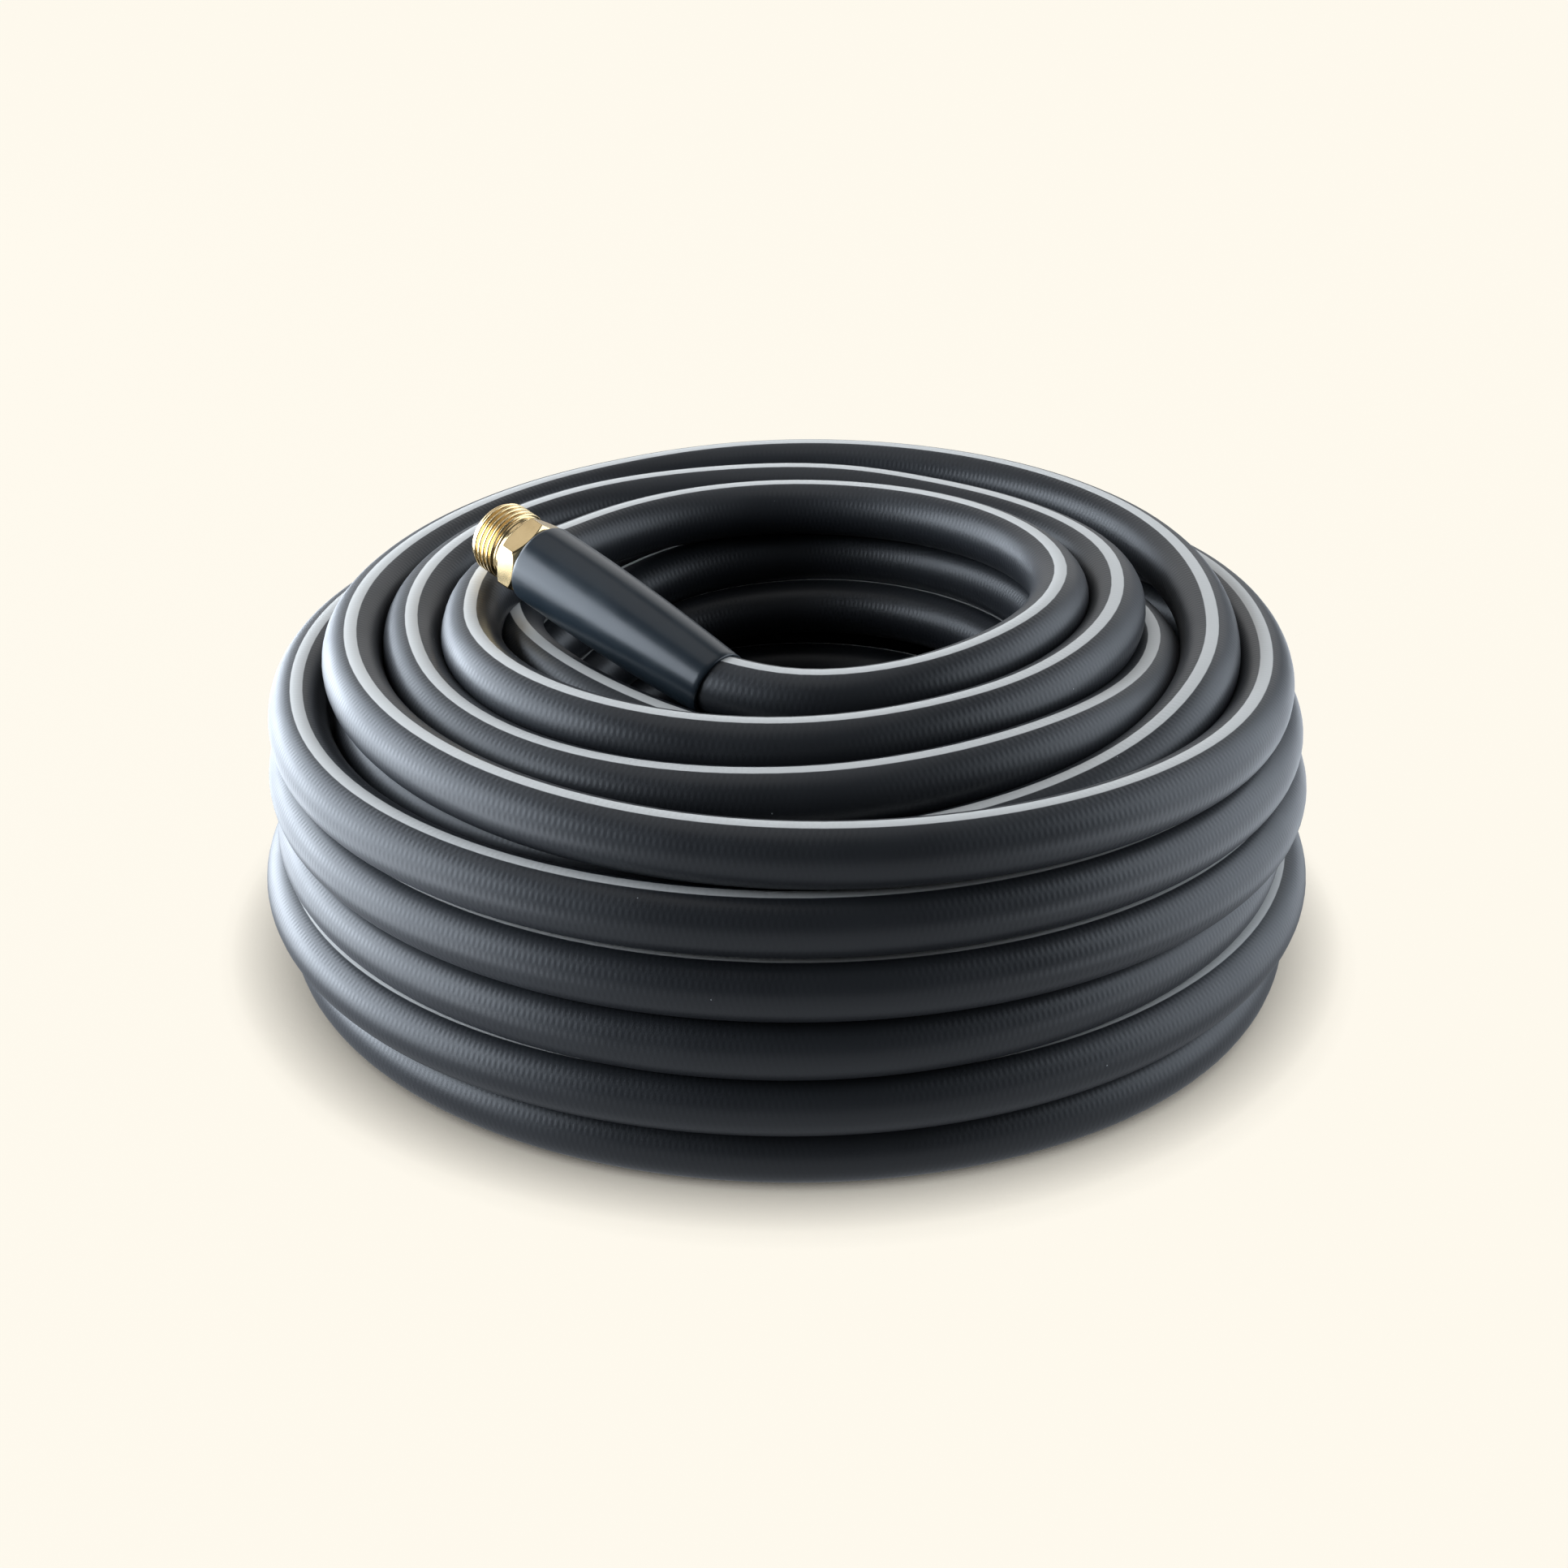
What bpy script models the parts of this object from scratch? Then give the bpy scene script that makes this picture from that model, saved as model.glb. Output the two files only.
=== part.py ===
"""Garden hose, 75 ft of 5/8 in rubber hose wound into a round coil.

The coil is one turned ring whose walls and ends show its turns. The first stretch of hose leaves the
top of the ring, runs once round its mouth and ends in a tapered sleeve with a brass male coupling.
The last stretch leaves the foot of the outer wall, lies on the floor behind the coil and ends in a
second sleeve with a brass swivel nut and its rubber washer.

Metres, +Z up. The origin is on the floor below the middle of the part's box.
"""

import math

import bmesh
import bpy
from mathutils import Matrix, Vector

# Hose
HOSE_DIAMETER = 0.0220
HOSE_RADIUS = HOSE_DIAMETER / 2
TOUCHING_GAP = 0.0003
HOSE_SIDES_RESOLUTION = 4
CURVE_STEPS = 16

# Coil: the middle of each turn that shows, as a radius from the coil's axis and a height
LAYER_PITCH = 0.0216
FLOOR_BITE = 0.0002
FLOOR_ROW_HEIGHT = HOSE_RADIUS - FLOOR_BITE
FLOOR_ROW_PITCH = 0.0222
OUTER_WALL_RADII = (0.1770, 0.1820, 0.1860, 0.1870, 0.1860, 0.1820)
INNER_WALL_RADII = (0.0960, 0.0940, 0.0920, 0.0960)
MOUTH_TURN = (0.1040, 0.1155)
SECOND_TURN = (0.1230, 0.1290)
THIRD_TURN = (0.1440, 0.1215)
SUNKEN_TURN = (0.1605, 0.1080)
FLOOR_ROW_TURNS = 5
CREVICE_LEVEL = 0.0045
SHOWN_ARC_STEP = math.radians(36)
HIDDEN_ARC_STEP = math.radians(62)
COIL_STEPS = 40
CHANNEL_CLEARANCE = 0.0012

# Sleeves, the same moulding on both ends of the hose
SLEEVE_LENGTH = 0.0930
SLEEVE_BORE_CLEARANCE = 0.0004
SLEEVE_BORE_RADIUS = HOSE_RADIUS + SLEEVE_BORE_CLEARANCE
SLEEVE_BIG_WALL = 0.0036
SLEEVE_SMALL_WALL = 0.0009
SLEEVE_SHOULDER = 0.0020
SLEEVE_BELLY = 0.0006
SLEEVE_TAPER_POWER = 1.5
SLEEVE_PROFILE_POINTS = 7
ROUND_STEPS = 32

# Threads, garden hose thread 3/4-11.5
THREAD_MAJOR_RADIUS = 0.0135
THREAD_DEPTH = 0.0012
THREAD_PITCH = 0.0254 / 11.5
THREAD_CREST = 0.0005
MALE_CRESTS = 5
WATER_BORE_RADIUS = 0.0075

# Male coupling, along its own axis from the sleeve outwards
MALE_HEX_SIDES = 6
MALE_HEX_FLATS = 0.0265
MALE_HEX_LENGTH = 0.0085
MALE_NECK_RADIUS = 0.0120
MALE_NECK_LENGTH = 0.0030
MALE_LEAD_IN = 0.0015
MALE_FACE_CHAMFER = 0.0006
MALE_NECK_RUNOUT = 0.0003

# Place of the male end: the small end of its sleeve, and the way its axis points outwards
MALE_SLEEVE_START = (-0.0223, -0.0791, 0.1330)
MALE_AXIS_TURN = math.radians(137.0)
MALE_AXIS_RISE = math.radians(12.8)

# Female end, along its own axis from the sleeve outwards
NUT_SOCKET_CLEARANCE = 0.0003
NUT_SOCKET_RADIUS = THREAD_MAJOR_RADIUS + NUT_SOCKET_CLEARANCE
STEM_COLLAR_RADIUS = 0.0120
STEM_COLLAR_LENGTH = 0.0050
STEM_NECK_RADIUS = 0.0095
STEM_FLANGE_CLEARANCE = 0.0014
STEM_FLANGE_RADIUS = NUT_SOCKET_RADIUS - STEM_FLANGE_CLEARANCE
STEM_FLANGE_LENGTH = 0.0022
NUT_LIP = 0.0026
NUT_LENGTH = 0.0190
NUT_WALL = 0.0017
NUT_FLATS = 2 * (NUT_SOCKET_RADIUS + NUT_WALL)
NUT_SIDES = 8
NUT_EDGE_BEVEL = 0.0008
NUT_EDGE_ANGLE = math.radians(60)
RUNNING_GAP = 0.0003
NECK_CLEARANCE = 0.0004
WASHER_THICKNESS = 0.0030
WASHER_CLEARANCE = 0.0007
WASHER_RADIUS = NUT_SOCKET_RADIUS - WASHER_CLEARANCE
WASHER_HOLE_RADIUS = WATER_BORE_RADIUS

# Place of the female end: its axis lies along -X, so high that the nut's corners clear the floor
NUT_FLOOR_CLEARANCE = 0.0004
NUT_CORNER_RADIUS = NUT_FLATS / 2 / math.cos(math.pi / NUT_SIDES)
FEMALE_AXIS_Z = NUT_CORNER_RADIUS + NUT_FLOOR_CLEARANCE
FEMALE_SLEEVE_START = (0.0020, 0.2140, FEMALE_AXIS_Z)

# Shift of the coil's axis from the origin, which centres the part's box on the origin
COIL_REACH = max(OUTER_WALL_RADII) + HOSE_RADIUS
COIL_SHIFT_Y = (COIL_REACH - FEMALE_SLEEVE_START[1] - NUT_CORNER_RADIUS) / 2

# Route of the hose's first stretch: the bend at the sleeve's small end, as distances on its axis and a
# shift inwards, then round the coil's mouth as angle in degrees, radius, height
LEAD_CURVES_FROM = 0.0120
LEAD_BEND_NEAR = -0.0060
LEAD_BEND_FAR = -0.0150
LEAD_BEND_SHIFT = (0.0030, 0.0010, 0.0020)
LEAD_ROUTE = (
    (-85.0, 0.0955, 0.1327),
    (-67.0, 0.0968, 0.1337),
    (-44.0, 0.0992, 0.1347),
    (-20.0, 0.1023, 0.1353),
    (2.0, 0.1036, 0.1353),
    (28.0, 0.1013, 0.1345),
    (55.0, 0.1000, 0.1326),
    (80.0, 0.1002, 0.1308),
    (105.0, 0.0998, 0.1300),
    (130.0, 0.0985, 0.1300),
    (150.0, 0.0985, 0.1300),
    (168.0, 0.1055, 0.1303),
    (184.0, 0.1150, 0.1302),
    (198.0, 0.1218, 0.1293),
    (204.0, 0.1230, 0.1290),
)
LEAD_POINTS = 34

# Route of the hose's last stretch behind the coil: position from the coil's axis, height
TAIL_LEAVES_AT = math.radians(45)
TAIL_RUN_OUT = math.radians(4)
TAIL_HEIGHT = HOSE_RADIUS + FLOOR_BITE
TAIL_ROUTE = (
    (0.1085, 0.1489, TAIL_HEIGHT),
    (0.0895, 0.1679, TAIL_HEIGHT + 0.0001),
    (0.0715, 0.1850, TAIL_HEIGHT + 0.0008),
    (0.0510, 0.2000, TAIL_HEIGHT + 0.0024),
    (0.0280, 0.2100, TAIL_HEIGHT + 0.0045),
)
TAIL_CURVES_TO = 0.0140
TAIL_POINTS = 14

CUTTER_OVERRUN = 0.0095
SHARP_ANGLE = math.radians(40)
COLLECTION_NAME = "garden_hose"
CUTTERS_NAME = "cutters"
MERGE_DISTANCE = 0.00001
SHORTEST_EDGE = 0.0002


def clear_scene():
    """Remove every object, and the collections that an earlier run made."""
    for obj in list(bpy.data.objects):
        bpy.data.objects.remove(obj, do_unlink=True)
    for name in (COLLECTION_NAME, CUTTERS_NAME):
        old = bpy.data.collections.get(name)
        if old:
            bpy.data.collections.remove(old)


def new_collection(name):
    """Make a collection in the scene."""
    collection = bpy.data.collections.new(name)
    bpy.context.scene.collection.children.link(collection)
    return collection


def new_material(name, colour, roughness, metallic):
    """Make a Principled material."""
    material = bpy.data.materials.new(name)
    material.use_nodes = True
    shader = material.node_tree.nodes["Principled BSDF"]
    shader.inputs["Base Color"].default_value = (*colour, 1.0)
    shader.inputs["Roughness"].default_value = roughness
    shader.inputs["Metallic"].default_value = metallic
    return material


def axis_frame(direction, place):
    """Give the matrix that turns +Z to a direction and moves the origin to a place."""
    turn = Vector(direction).to_track_quat("Z", "Y").to_matrix().to_4x4()
    return Matrix.Translation(Vector(place)) @ turn


def around_coil(angle, radius, height):
    """Give the point at an angle and radius round the coil's axis."""
    return Vector((radius * math.cos(angle), COIL_SHIFT_Y + radius * math.sin(angle), height))


def male_axis():
    """Give the unit vector along the male end, outwards."""
    level = math.cos(MALE_AXIS_RISE)
    x = level * math.cos(MALE_AXIS_TURN)
    y = level * math.sin(MALE_AXIS_TURN)
    return Vector((x, y, math.sin(MALE_AXIS_RISE)))


def male_place(along):
    """Give the point on the male end's axis at a distance from the sleeve's small end."""
    start = Vector(MALE_SLEEVE_START) + Vector((0, COIL_SHIFT_Y, 0))
    return start + male_axis() * along


def female_place(along):
    """Give the point on the female end's axis at a distance from the sleeve's small end."""
    return Vector(FEMALE_SLEEVE_START) + Vector((-along, COIL_SHIFT_Y, 0))


def smooth_points(points, count):
    """Read points at even distances from a smooth curve through the given ones."""
    dense = []
    last = len(points) - 1
    for index in range(last):
        before = points[max(index - 1, 0)]
        start = points[index]
        end = points[index + 1]
        after = points[min(index + 2, last)]
        for part in range(CURVE_STEPS):
            t = part / CURVE_STEPS
            dense.append(0.5 * (2 * start + (end - before) * t
                                + (2 * before - 5 * start + 4 * end - after) * t ** 2
                                + (3 * start - before - 3 * end + after) * t ** 3))
    dense.append(points[last])
    lengths = [0.0]
    for near, far in zip(dense, dense[1:]):
        lengths.append(lengths[-1] + (far - near).length)
    result = []
    segment = 0
    for index in range(count):
        target = lengths[-1] * index / (count - 1)
        while segment < len(dense) - 2 and lengths[segment + 1] < target:
            segment += 1
        share = (target - lengths[segment]) / (lengths[segment + 1] - lengths[segment])
        result.append(dense[segment].lerp(dense[segment + 1], share))
    return result


def lead_points():
    """Give the first stretch: straight through the sleeve, round the mouth, down into the second turn."""
    inside = [male_place(SLEEVE_LENGTH - TOUCHING_GAP), male_place(SLEEVE_LENGTH / 2)]
    bend = [male_place(LEAD_CURVES_FROM), male_place(LEAD_BEND_NEAR),
            male_place(LEAD_BEND_FAR) + Vector(LEAD_BEND_SHIFT)]
    around = [around_coil(math.radians(angle), radius, height) for angle, radius, height in LEAD_ROUTE]
    return inside + smooth_points(bend + around, LEAD_POINTS)


def tail_points():
    """Give the last stretch: off the outer wall's foot, round behind the coil, straight into the sleeve."""
    radius = OUTER_WALL_RADII[-1]
    leaving = [around_coil(TAIL_LEAVES_AT - TAIL_RUN_OUT, radius, TAIL_HEIGHT),
               around_coil(TAIL_LEAVES_AT, radius, TAIL_HEIGHT)]
    shift = Vector((0, COIL_SHIFT_Y, 0))
    behind = [Vector(point) + shift for point in TAIL_ROUTE]
    inside = [female_place(0.0), female_place(TAIL_CURVES_TO)]
    curve = smooth_points(leaving + behind + inside, TAIL_POINTS)
    return curve + [female_place(SLEEVE_LENGTH / 2), female_place(SLEEVE_LENGTH - TOUCHING_GAP)]


def arc_down(centre, start, end, step):
    """Give points on one turn's round side, clockwise from one angle to a smaller one."""
    count = max(1, math.ceil((start - end) / step))
    points = []
    for index in range(count + 1):
        angle = start + (end - start) * index / count
        points.append((centre[0] + HOSE_RADIUS * math.cos(angle), centre[1] + HOSE_RADIUS * math.sin(angle)))
    return points


def turn_side(before, centre, after, step):
    """Give the free side of one turn between its two neighbours on the ring's outline, clockwise."""
    back = math.atan2(before[1] - centre[1], before[0] - centre[0])
    ahead = math.atan2(after[1] - centre[1], after[0] - centre[0])
    level = math.asin(CREVICE_LEVEL / HOSE_RADIUS)
    near = math.acos(min(1.0, math.dist(before, centre) / HOSE_DIAMETER))
    far = math.acos(min(1.0, math.dist(centre, after) / HOSE_DIAMETER))
    start = back - max(level, near)
    end = ahead + max(level, far)
    while end > start:
        end -= math.tau
    if centre[1] > HOSE_RADIUS:
        return arc_down(centre, start, end, step)
    flat = math.acos(centre[1] / HOSE_RADIUS)
    while start < -math.pi / 2:
        start += math.tau
        end += math.tau
    outer_side = arc_down(centre, start, -math.pi / 2 + flat, step)
    return outer_side + arc_down(centre, -math.pi / 2 - flat, end, step)


def ring_turns():
    """List the turns on the ring's outline, clockwise from the outer wall's top, as shown and hidden ones."""
    top = len(OUTER_WALL_RADII) - 1
    outside = [(radius, FLOOR_ROW_HEIGHT + LAYER_PITCH * (top - index))
               for index, radius in enumerate(OUTER_WALL_RADII)]
    floor = [(OUTER_WALL_RADII[-1] - FLOOR_ROW_PITCH * index, FLOOR_ROW_HEIGHT)
             for index in range(1, FLOOR_ROW_TURNS)]
    inside = [(radius, FLOOR_ROW_HEIGHT + LAYER_PITCH * (index + 1))
              for index, radius in enumerate(INNER_WALL_RADII)]
    top_side = [MOUTH_TURN, SECOND_TURN, THIRD_TURN, SUNKEN_TURN]
    hidden = floor + inside
    turns = outside + hidden + top_side
    steps = [SHOWN_ARC_STEP] * len(outside) + [HIDDEN_ARC_STEP] * len(hidden) + [SHOWN_ARC_STEP] * len(top_side)
    return turns, steps


def ring_outline():
    """Give the ring's closed cross-section as radius and height."""
    turns, steps = ring_turns()
    outline = []
    for index, centre in enumerate(turns):
        side = turn_side(turns[index - 1], centre, turns[(index + 1) % len(turns)], steps[index])
        outline.extend(point for point in side if not outline or math.dist(outline[-1], point) > SHORTEST_EDGE)
    return outline


def turned(name, outline, steps, closed, collection, material, matrix):
    """Turn an outline of radius and height round its own Z axis, with a Screw modifier."""
    mesh = bpy.data.meshes.new(name)
    count = len(outline)
    edges = [(index, index + 1) for index in range(count - 1)]
    if closed:
        edges.append((count - 1, 0))
    mesh.from_pydata([(radius, 0.0, height) for radius, height in outline], edges, [])
    obj = bpy.data.objects.new(name, mesh)
    collection.objects.link(obj)
    screw = obj.modifiers.new("turn", "SCREW")
    screw.axis = "Z"
    screw.angle = math.tau
    screw.steps = steps
    screw.render_steps = steps
    screw.use_merge_vertices = True
    screw.merge_threshold = MERGE_DISTANCE
    screw.use_smooth_shade = True
    obj.matrix_world = matrix
    mesh.materials.append(material)
    return obj


def tube(name, points, radius, collection, material):
    """Make a closed round tube along a list of points."""
    data = bpy.data.curves.new(name, "CURVE")
    data.dimensions = "3D"
    data.bevel_depth = radius
    data.bevel_resolution = HOSE_SIDES_RESOLUTION
    data.use_fill_caps = True
    spline = data.splines.new("POLY")
    spline.points.add(len(points) - 1)
    for spot, point in zip(spline.points, points):
        spot.co = (*point, 1.0)
    obj = bpy.data.objects.new(name, data)
    collection.objects.link(obj)
    data.materials.append(material)
    return obj


def as_mesh(obj, collection):
    """Swap a curve object for the same shape as a welded mesh."""
    bpy.context.view_layer.update()
    evaluated = obj.evaluated_get(bpy.context.evaluated_depsgraph_get())
    mesh = bpy.data.meshes.new_from_object(evaluated)
    bm = bmesh.new()
    bm.from_mesh(mesh)
    bmesh.ops.remove_doubles(bm, verts=bm.verts, dist=MERGE_DISTANCE)
    bmesh.ops.recalc_face_normals(bm, faces=bm.faces)
    bm.to_mesh(mesh)
    bm.free()
    name = obj.name
    matrix = obj.matrix_world.copy()
    bpy.data.objects.remove(obj, do_unlink=True)
    result = bpy.data.objects.new(name, mesh)
    result.matrix_world = matrix
    collection.objects.link(result)
    mesh.shade_smooth()
    mesh.set_sharp_from_angle(angle=SHARP_ANGLE)
    return result


def prism(name, sides, flats, length, collection, material, matrix):
    """Make a prism of regular section from a cylinder primitive, its lower end at its origin."""
    mesh = bpy.data.meshes.new(name)
    corner = flats / 2 / math.cos(math.pi / sides)
    bm = bmesh.new()
    bmesh.ops.create_cone(bm, cap_ends=True, segments=sides, radius1=corner, radius2=corner, depth=length,
                          matrix=Matrix.Translation((0, 0, length / 2)))
    bm.to_mesh(mesh)
    bm.free()
    obj = bpy.data.objects.new(name, mesh)
    obj.matrix_world = matrix
    collection.objects.link(obj)
    mesh.materials.append(material)
    return obj


def combine(obj, other, operation):
    """Add or cut another object, which becomes a hidden guide."""
    boolean = obj.modifiers.new(operation.lower(), "BOOLEAN")
    boolean.operation = operation
    boolean.solver = "EXACT"
    boolean.object = other
    other.hide_render = True
    other.display_type = "WIRE"


def build_coil(parts, cutters, rubber):
    """Turn the ring, and cut the two places where the hose's free stretches run out of it."""
    matrix = Matrix.Translation((0, COIL_SHIFT_Y, 0))
    coil = turned("hose_coil", ring_outline(), COIL_STEPS, True, parts, rubber, matrix)
    for name, points in (("lead_channel", lead_points()), ("tail_channel", tail_points()[::-1])):
        stretch = (points[-1] - points[-2]).normalized() * TOUCHING_GAP
        longer = points[:-1] + [points[-1] + stretch]
        cutter = tube(name, longer, HOSE_RADIUS + CHANNEL_CLEARANCE, cutters, rubber)
        combine(coil, as_mesh(cutter, cutters), "DIFFERENCE")


def sleeve_outline():
    """Give the sleeve's closed section: its outer side from the big end down, and its bore back up."""
    big = SLEEVE_BORE_RADIUS + SLEEVE_BIG_WALL
    small = SLEEVE_BORE_RADIUS + SLEEVE_SMALL_WALL
    edge = SLEEVE_SHOULDER * (1 - math.sqrt(0.5))
    outer = [(big - SLEEVE_SHOULDER, SLEEVE_LENGTH), (big - edge, SLEEVE_LENGTH - edge)]
    body = SLEEVE_LENGTH - SLEEVE_SHOULDER
    for index in range(SLEEVE_PROFILE_POINTS):
        share = index / (SLEEVE_PROFILE_POINTS - 1)
        taper = big + (small - big) * share ** SLEEVE_TAPER_POWER
        outer.append((taper + SLEEVE_BELLY * math.sin(math.pi * share), body * (1 - share)))
    return outer + [(SLEEVE_BORE_RADIUS, 0.0), (SLEEVE_BORE_RADIUS, SLEEVE_LENGTH)]


def thread_outline(top, crests):
    """Give a thread's crests and roots as rings, from its outer end down."""
    root = THREAD_MAJOR_RADIUS - THREAD_DEPTH
    flank = (THREAD_PITCH - 2 * THREAD_CREST) / 2
    points = []
    height = top
    for _ in range(crests):
        points.append((root, height))
        points.append((THREAD_MAJOR_RADIUS, height - flank))
        points.append((THREAD_MAJOR_RADIUS, height - flank - THREAD_CREST))
        points.append((root, height - 2 * flank - THREAD_CREST))
        height -= THREAD_PITCH
    return points


def build_male_end(parts, cutters, rubber, sleeve_finish, brass):
    """Make the first stretch of hose, its sleeve and its male coupling."""
    tube_object = tube("hose_lead", lead_points(), HOSE_RADIUS, parts, rubber)
    as_mesh(tube_object, parts)
    start = axis_frame(male_axis(), male_place(0.0))
    turned("male_sleeve", sleeve_outline(), ROUND_STEPS, True, parts, sleeve_finish, start)
    seat = axis_frame(male_axis(), male_place(SLEEVE_LENGTH + TOUCHING_GAP))
    thread_foot = MALE_HEX_LENGTH + MALE_NECK_LENGTH
    thread_top = thread_foot + MALE_CRESTS * THREAD_PITCH
    face = thread_top + MALE_LEAD_IN
    root = THREAD_MAJOR_RADIUS - THREAD_DEPTH
    outline = [(root - MALE_FACE_CHAMFER, face)]
    outline += thread_outline(thread_top, MALE_CRESTS)
    outline += [(MALE_NECK_RADIUS, thread_foot - MALE_NECK_RUNOUT), (MALE_NECK_RADIUS, 0.0),
                (WATER_BORE_RADIUS, 0.0), (WATER_BORE_RADIUS, face)]
    coupling = turned("male_coupling", outline, ROUND_STEPS, True, parts, brass, seat)
    collar = prism("male_hex", MALE_HEX_SIDES, MALE_HEX_FLATS, MALE_HEX_LENGTH, cutters, brass, seat)
    hole = prism("male_hex_hole", ROUND_STEPS, WATER_BORE_RADIUS + MALE_NECK_RADIUS,
                 MALE_HEX_LENGTH + 2 * CUTTER_OVERRUN, cutters, brass,
                 seat @ Matrix.Translation((0, 0, -CUTTER_OVERRUN)))
    combine(collar, hole, "DIFFERENCE")
    combine(coupling, collar, "UNION")


def build_female_end(parts, cutters, rubber, sleeve_finish, brass, washer_rubber):
    """Make the last stretch of hose, its sleeve, the stem, the swivel nut and the washer."""
    tube_object = tube("hose_tail", tail_points(), HOSE_RADIUS, parts, rubber)
    as_mesh(tube_object, parts)
    out = Vector((-1, 0, 0))
    turned("female_sleeve", sleeve_outline(), ROUND_STEPS, True, parts, sleeve_finish,
           axis_frame(out, female_place(0.0)))
    seat = axis_frame(out, female_place(SLEEVE_LENGTH + TOUCHING_GAP))
    neck_length = NUT_LIP + 2 * RUNNING_GAP
    flange_foot = STEM_COLLAR_LENGTH + neck_length
    flange_face = flange_foot + STEM_FLANGE_LENGTH
    stem = [(STEM_FLANGE_RADIUS, flange_face), (STEM_FLANGE_RADIUS, flange_foot),
            (STEM_NECK_RADIUS, flange_foot), (STEM_NECK_RADIUS, STEM_COLLAR_LENGTH),
            (STEM_COLLAR_RADIUS, STEM_COLLAR_LENGTH), (STEM_COLLAR_RADIUS, 0.0),
            (WATER_BORE_RADIUS, 0.0), (WATER_BORE_RADIUS, flange_face)]
    turned("female_stem", stem, ROUND_STEPS, True, parts, brass, seat)
    washer_foot = flange_face + TOUCHING_GAP
    washer = [(WASHER_RADIUS, washer_foot + WASHER_THICKNESS), (WASHER_RADIUS, washer_foot),
              (WASHER_HOLE_RADIUS, washer_foot), (WASHER_HOLE_RADIUS, washer_foot + WASHER_THICKNESS)]
    turned("hose_washer", washer, ROUND_STEPS, True, parts, washer_rubber, seat)
    build_nut(parts, cutters, brass, seat)


def build_nut(parts, cutters, brass, seat):
    """Make the octagonal swivel nut: a lip that runs on the stem's neck, and an open threaded socket."""
    foot = seat @ Matrix.Translation((0, 0, STEM_COLLAR_LENGTH + RUNNING_GAP))
    nut = prism("swivel_nut", NUT_SIDES, NUT_FLATS, NUT_LENGTH, parts, brass, foot)
    bevel = nut.modifiers.new("edges", "BEVEL")
    bevel.width = NUT_EDGE_BEVEL
    bevel.segments = 1
    bevel.limit_method = "ANGLE"
    bevel.angle_limit = NUT_EDGE_ANGLE
    bore_radius = STEM_NECK_RADIUS + NECK_CLEARANCE
    top = NUT_LENGTH + CUTTER_OVERRUN
    cavity = [(0.0, top), (NUT_SOCKET_RADIUS, top), (NUT_SOCKET_RADIUS, NUT_LIP), (bore_radius, NUT_LIP),
              (bore_radius, -CUTTER_OVERRUN), (0.0, -CUTTER_OVERRUN)]
    cutter = turned("nut_socket", cavity, ROUND_STEPS, False, cutters, brass, foot)
    combine(nut, cutter, "DIFFERENCE")


def main():
    """Build every piece."""
    clear_scene()
    parts = new_collection(COLLECTION_NAME)
    cutters = new_collection(CUTTERS_NAME)
    rubber = new_material("hose_rubber", (0.055, 0.060, 0.067), 0.45, 0.0)
    sleeve_finish = new_material("sleeve_plastic", (0.030, 0.042, 0.052), 0.25, 0.0)
    brass = new_material("brass", (0.80, 0.60, 0.30), 0.22, 1.0)
    washer_rubber = new_material("washer_rubber", (0.02, 0.02, 0.02), 0.60, 0.0)
    build_coil(parts, cutters, rubber)
    build_male_end(parts, cutters, rubber, sleeve_finish, brass)
    build_female_end(parts, cutters, rubber, sleeve_finish, brass, washer_rubber)


main()
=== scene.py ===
"""Looks of a garden hose: 75 ft of 22 mm rubber hose in a round coil.

A light stripe runs along its top, and each end has a glossy tapered sleeve and a brass coupling.

Lengths are in metres, +Z is up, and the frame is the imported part's own.
"""
import logging
import math
from dataclasses import dataclass, field
from enum import Enum

import bpy
import numpy as np
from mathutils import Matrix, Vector


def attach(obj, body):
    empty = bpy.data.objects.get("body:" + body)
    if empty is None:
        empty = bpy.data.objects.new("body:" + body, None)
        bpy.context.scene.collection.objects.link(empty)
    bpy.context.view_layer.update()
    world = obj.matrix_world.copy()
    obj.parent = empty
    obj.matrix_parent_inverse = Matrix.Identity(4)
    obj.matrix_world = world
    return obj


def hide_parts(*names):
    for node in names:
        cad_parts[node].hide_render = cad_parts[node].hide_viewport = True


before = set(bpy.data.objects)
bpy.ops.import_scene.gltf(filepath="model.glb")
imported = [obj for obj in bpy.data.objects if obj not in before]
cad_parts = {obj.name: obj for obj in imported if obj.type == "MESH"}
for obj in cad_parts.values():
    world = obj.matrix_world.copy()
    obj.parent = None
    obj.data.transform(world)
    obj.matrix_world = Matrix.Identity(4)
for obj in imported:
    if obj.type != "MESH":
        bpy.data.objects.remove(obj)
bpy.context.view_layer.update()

Array = np.ndarray
Colour = tuple[float, float, float, float]
Point = tuple[float, float, float]
Span = tuple[float, float]
Socket = bpy.types.NodeSocket
Node = bpy.types.Node
Tree = bpy.types.NodeTree
Piece = bpy.types.Object
Material = bpy.types.Material
LOG = logging.getLogger("garden_hose")

UV_NAME = "along_and_round"
MILLIMETRE = 0.001
TURN = 360.0

# Places shared with the part: the coil's axis, the two ends of the hose and the way they point.
COIL_CENTRE = np.array([0.0, -0.0163885, 0.0])
MALE_START = np.array([-0.0223, -0.0954885, 0.1330])
MALE_OUT = np.array([-0.7131791, 0.6650503, 0.2215485])
FEMALE_START = np.array([0.0020, 0.1976115, 0.0171771])
FEMALE_OUT = np.array([-1.0, 0.0, 0.0])
HOSE_DIAMETER = 0.0220
SLEEVE_LENGTH = 0.0930
SEAT = 0.0933
TOUCHING_GAP = 0.0003

# How finely a curve is read between its points, and how far a rounding may reach along its side.
CURVE_STEPS = 12
WIDEST_ROUNDING = 0.45


class Body(Enum):
    """The moving bodies of the part."""

    HOSE = "hose"
    NUT = "nut"


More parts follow.
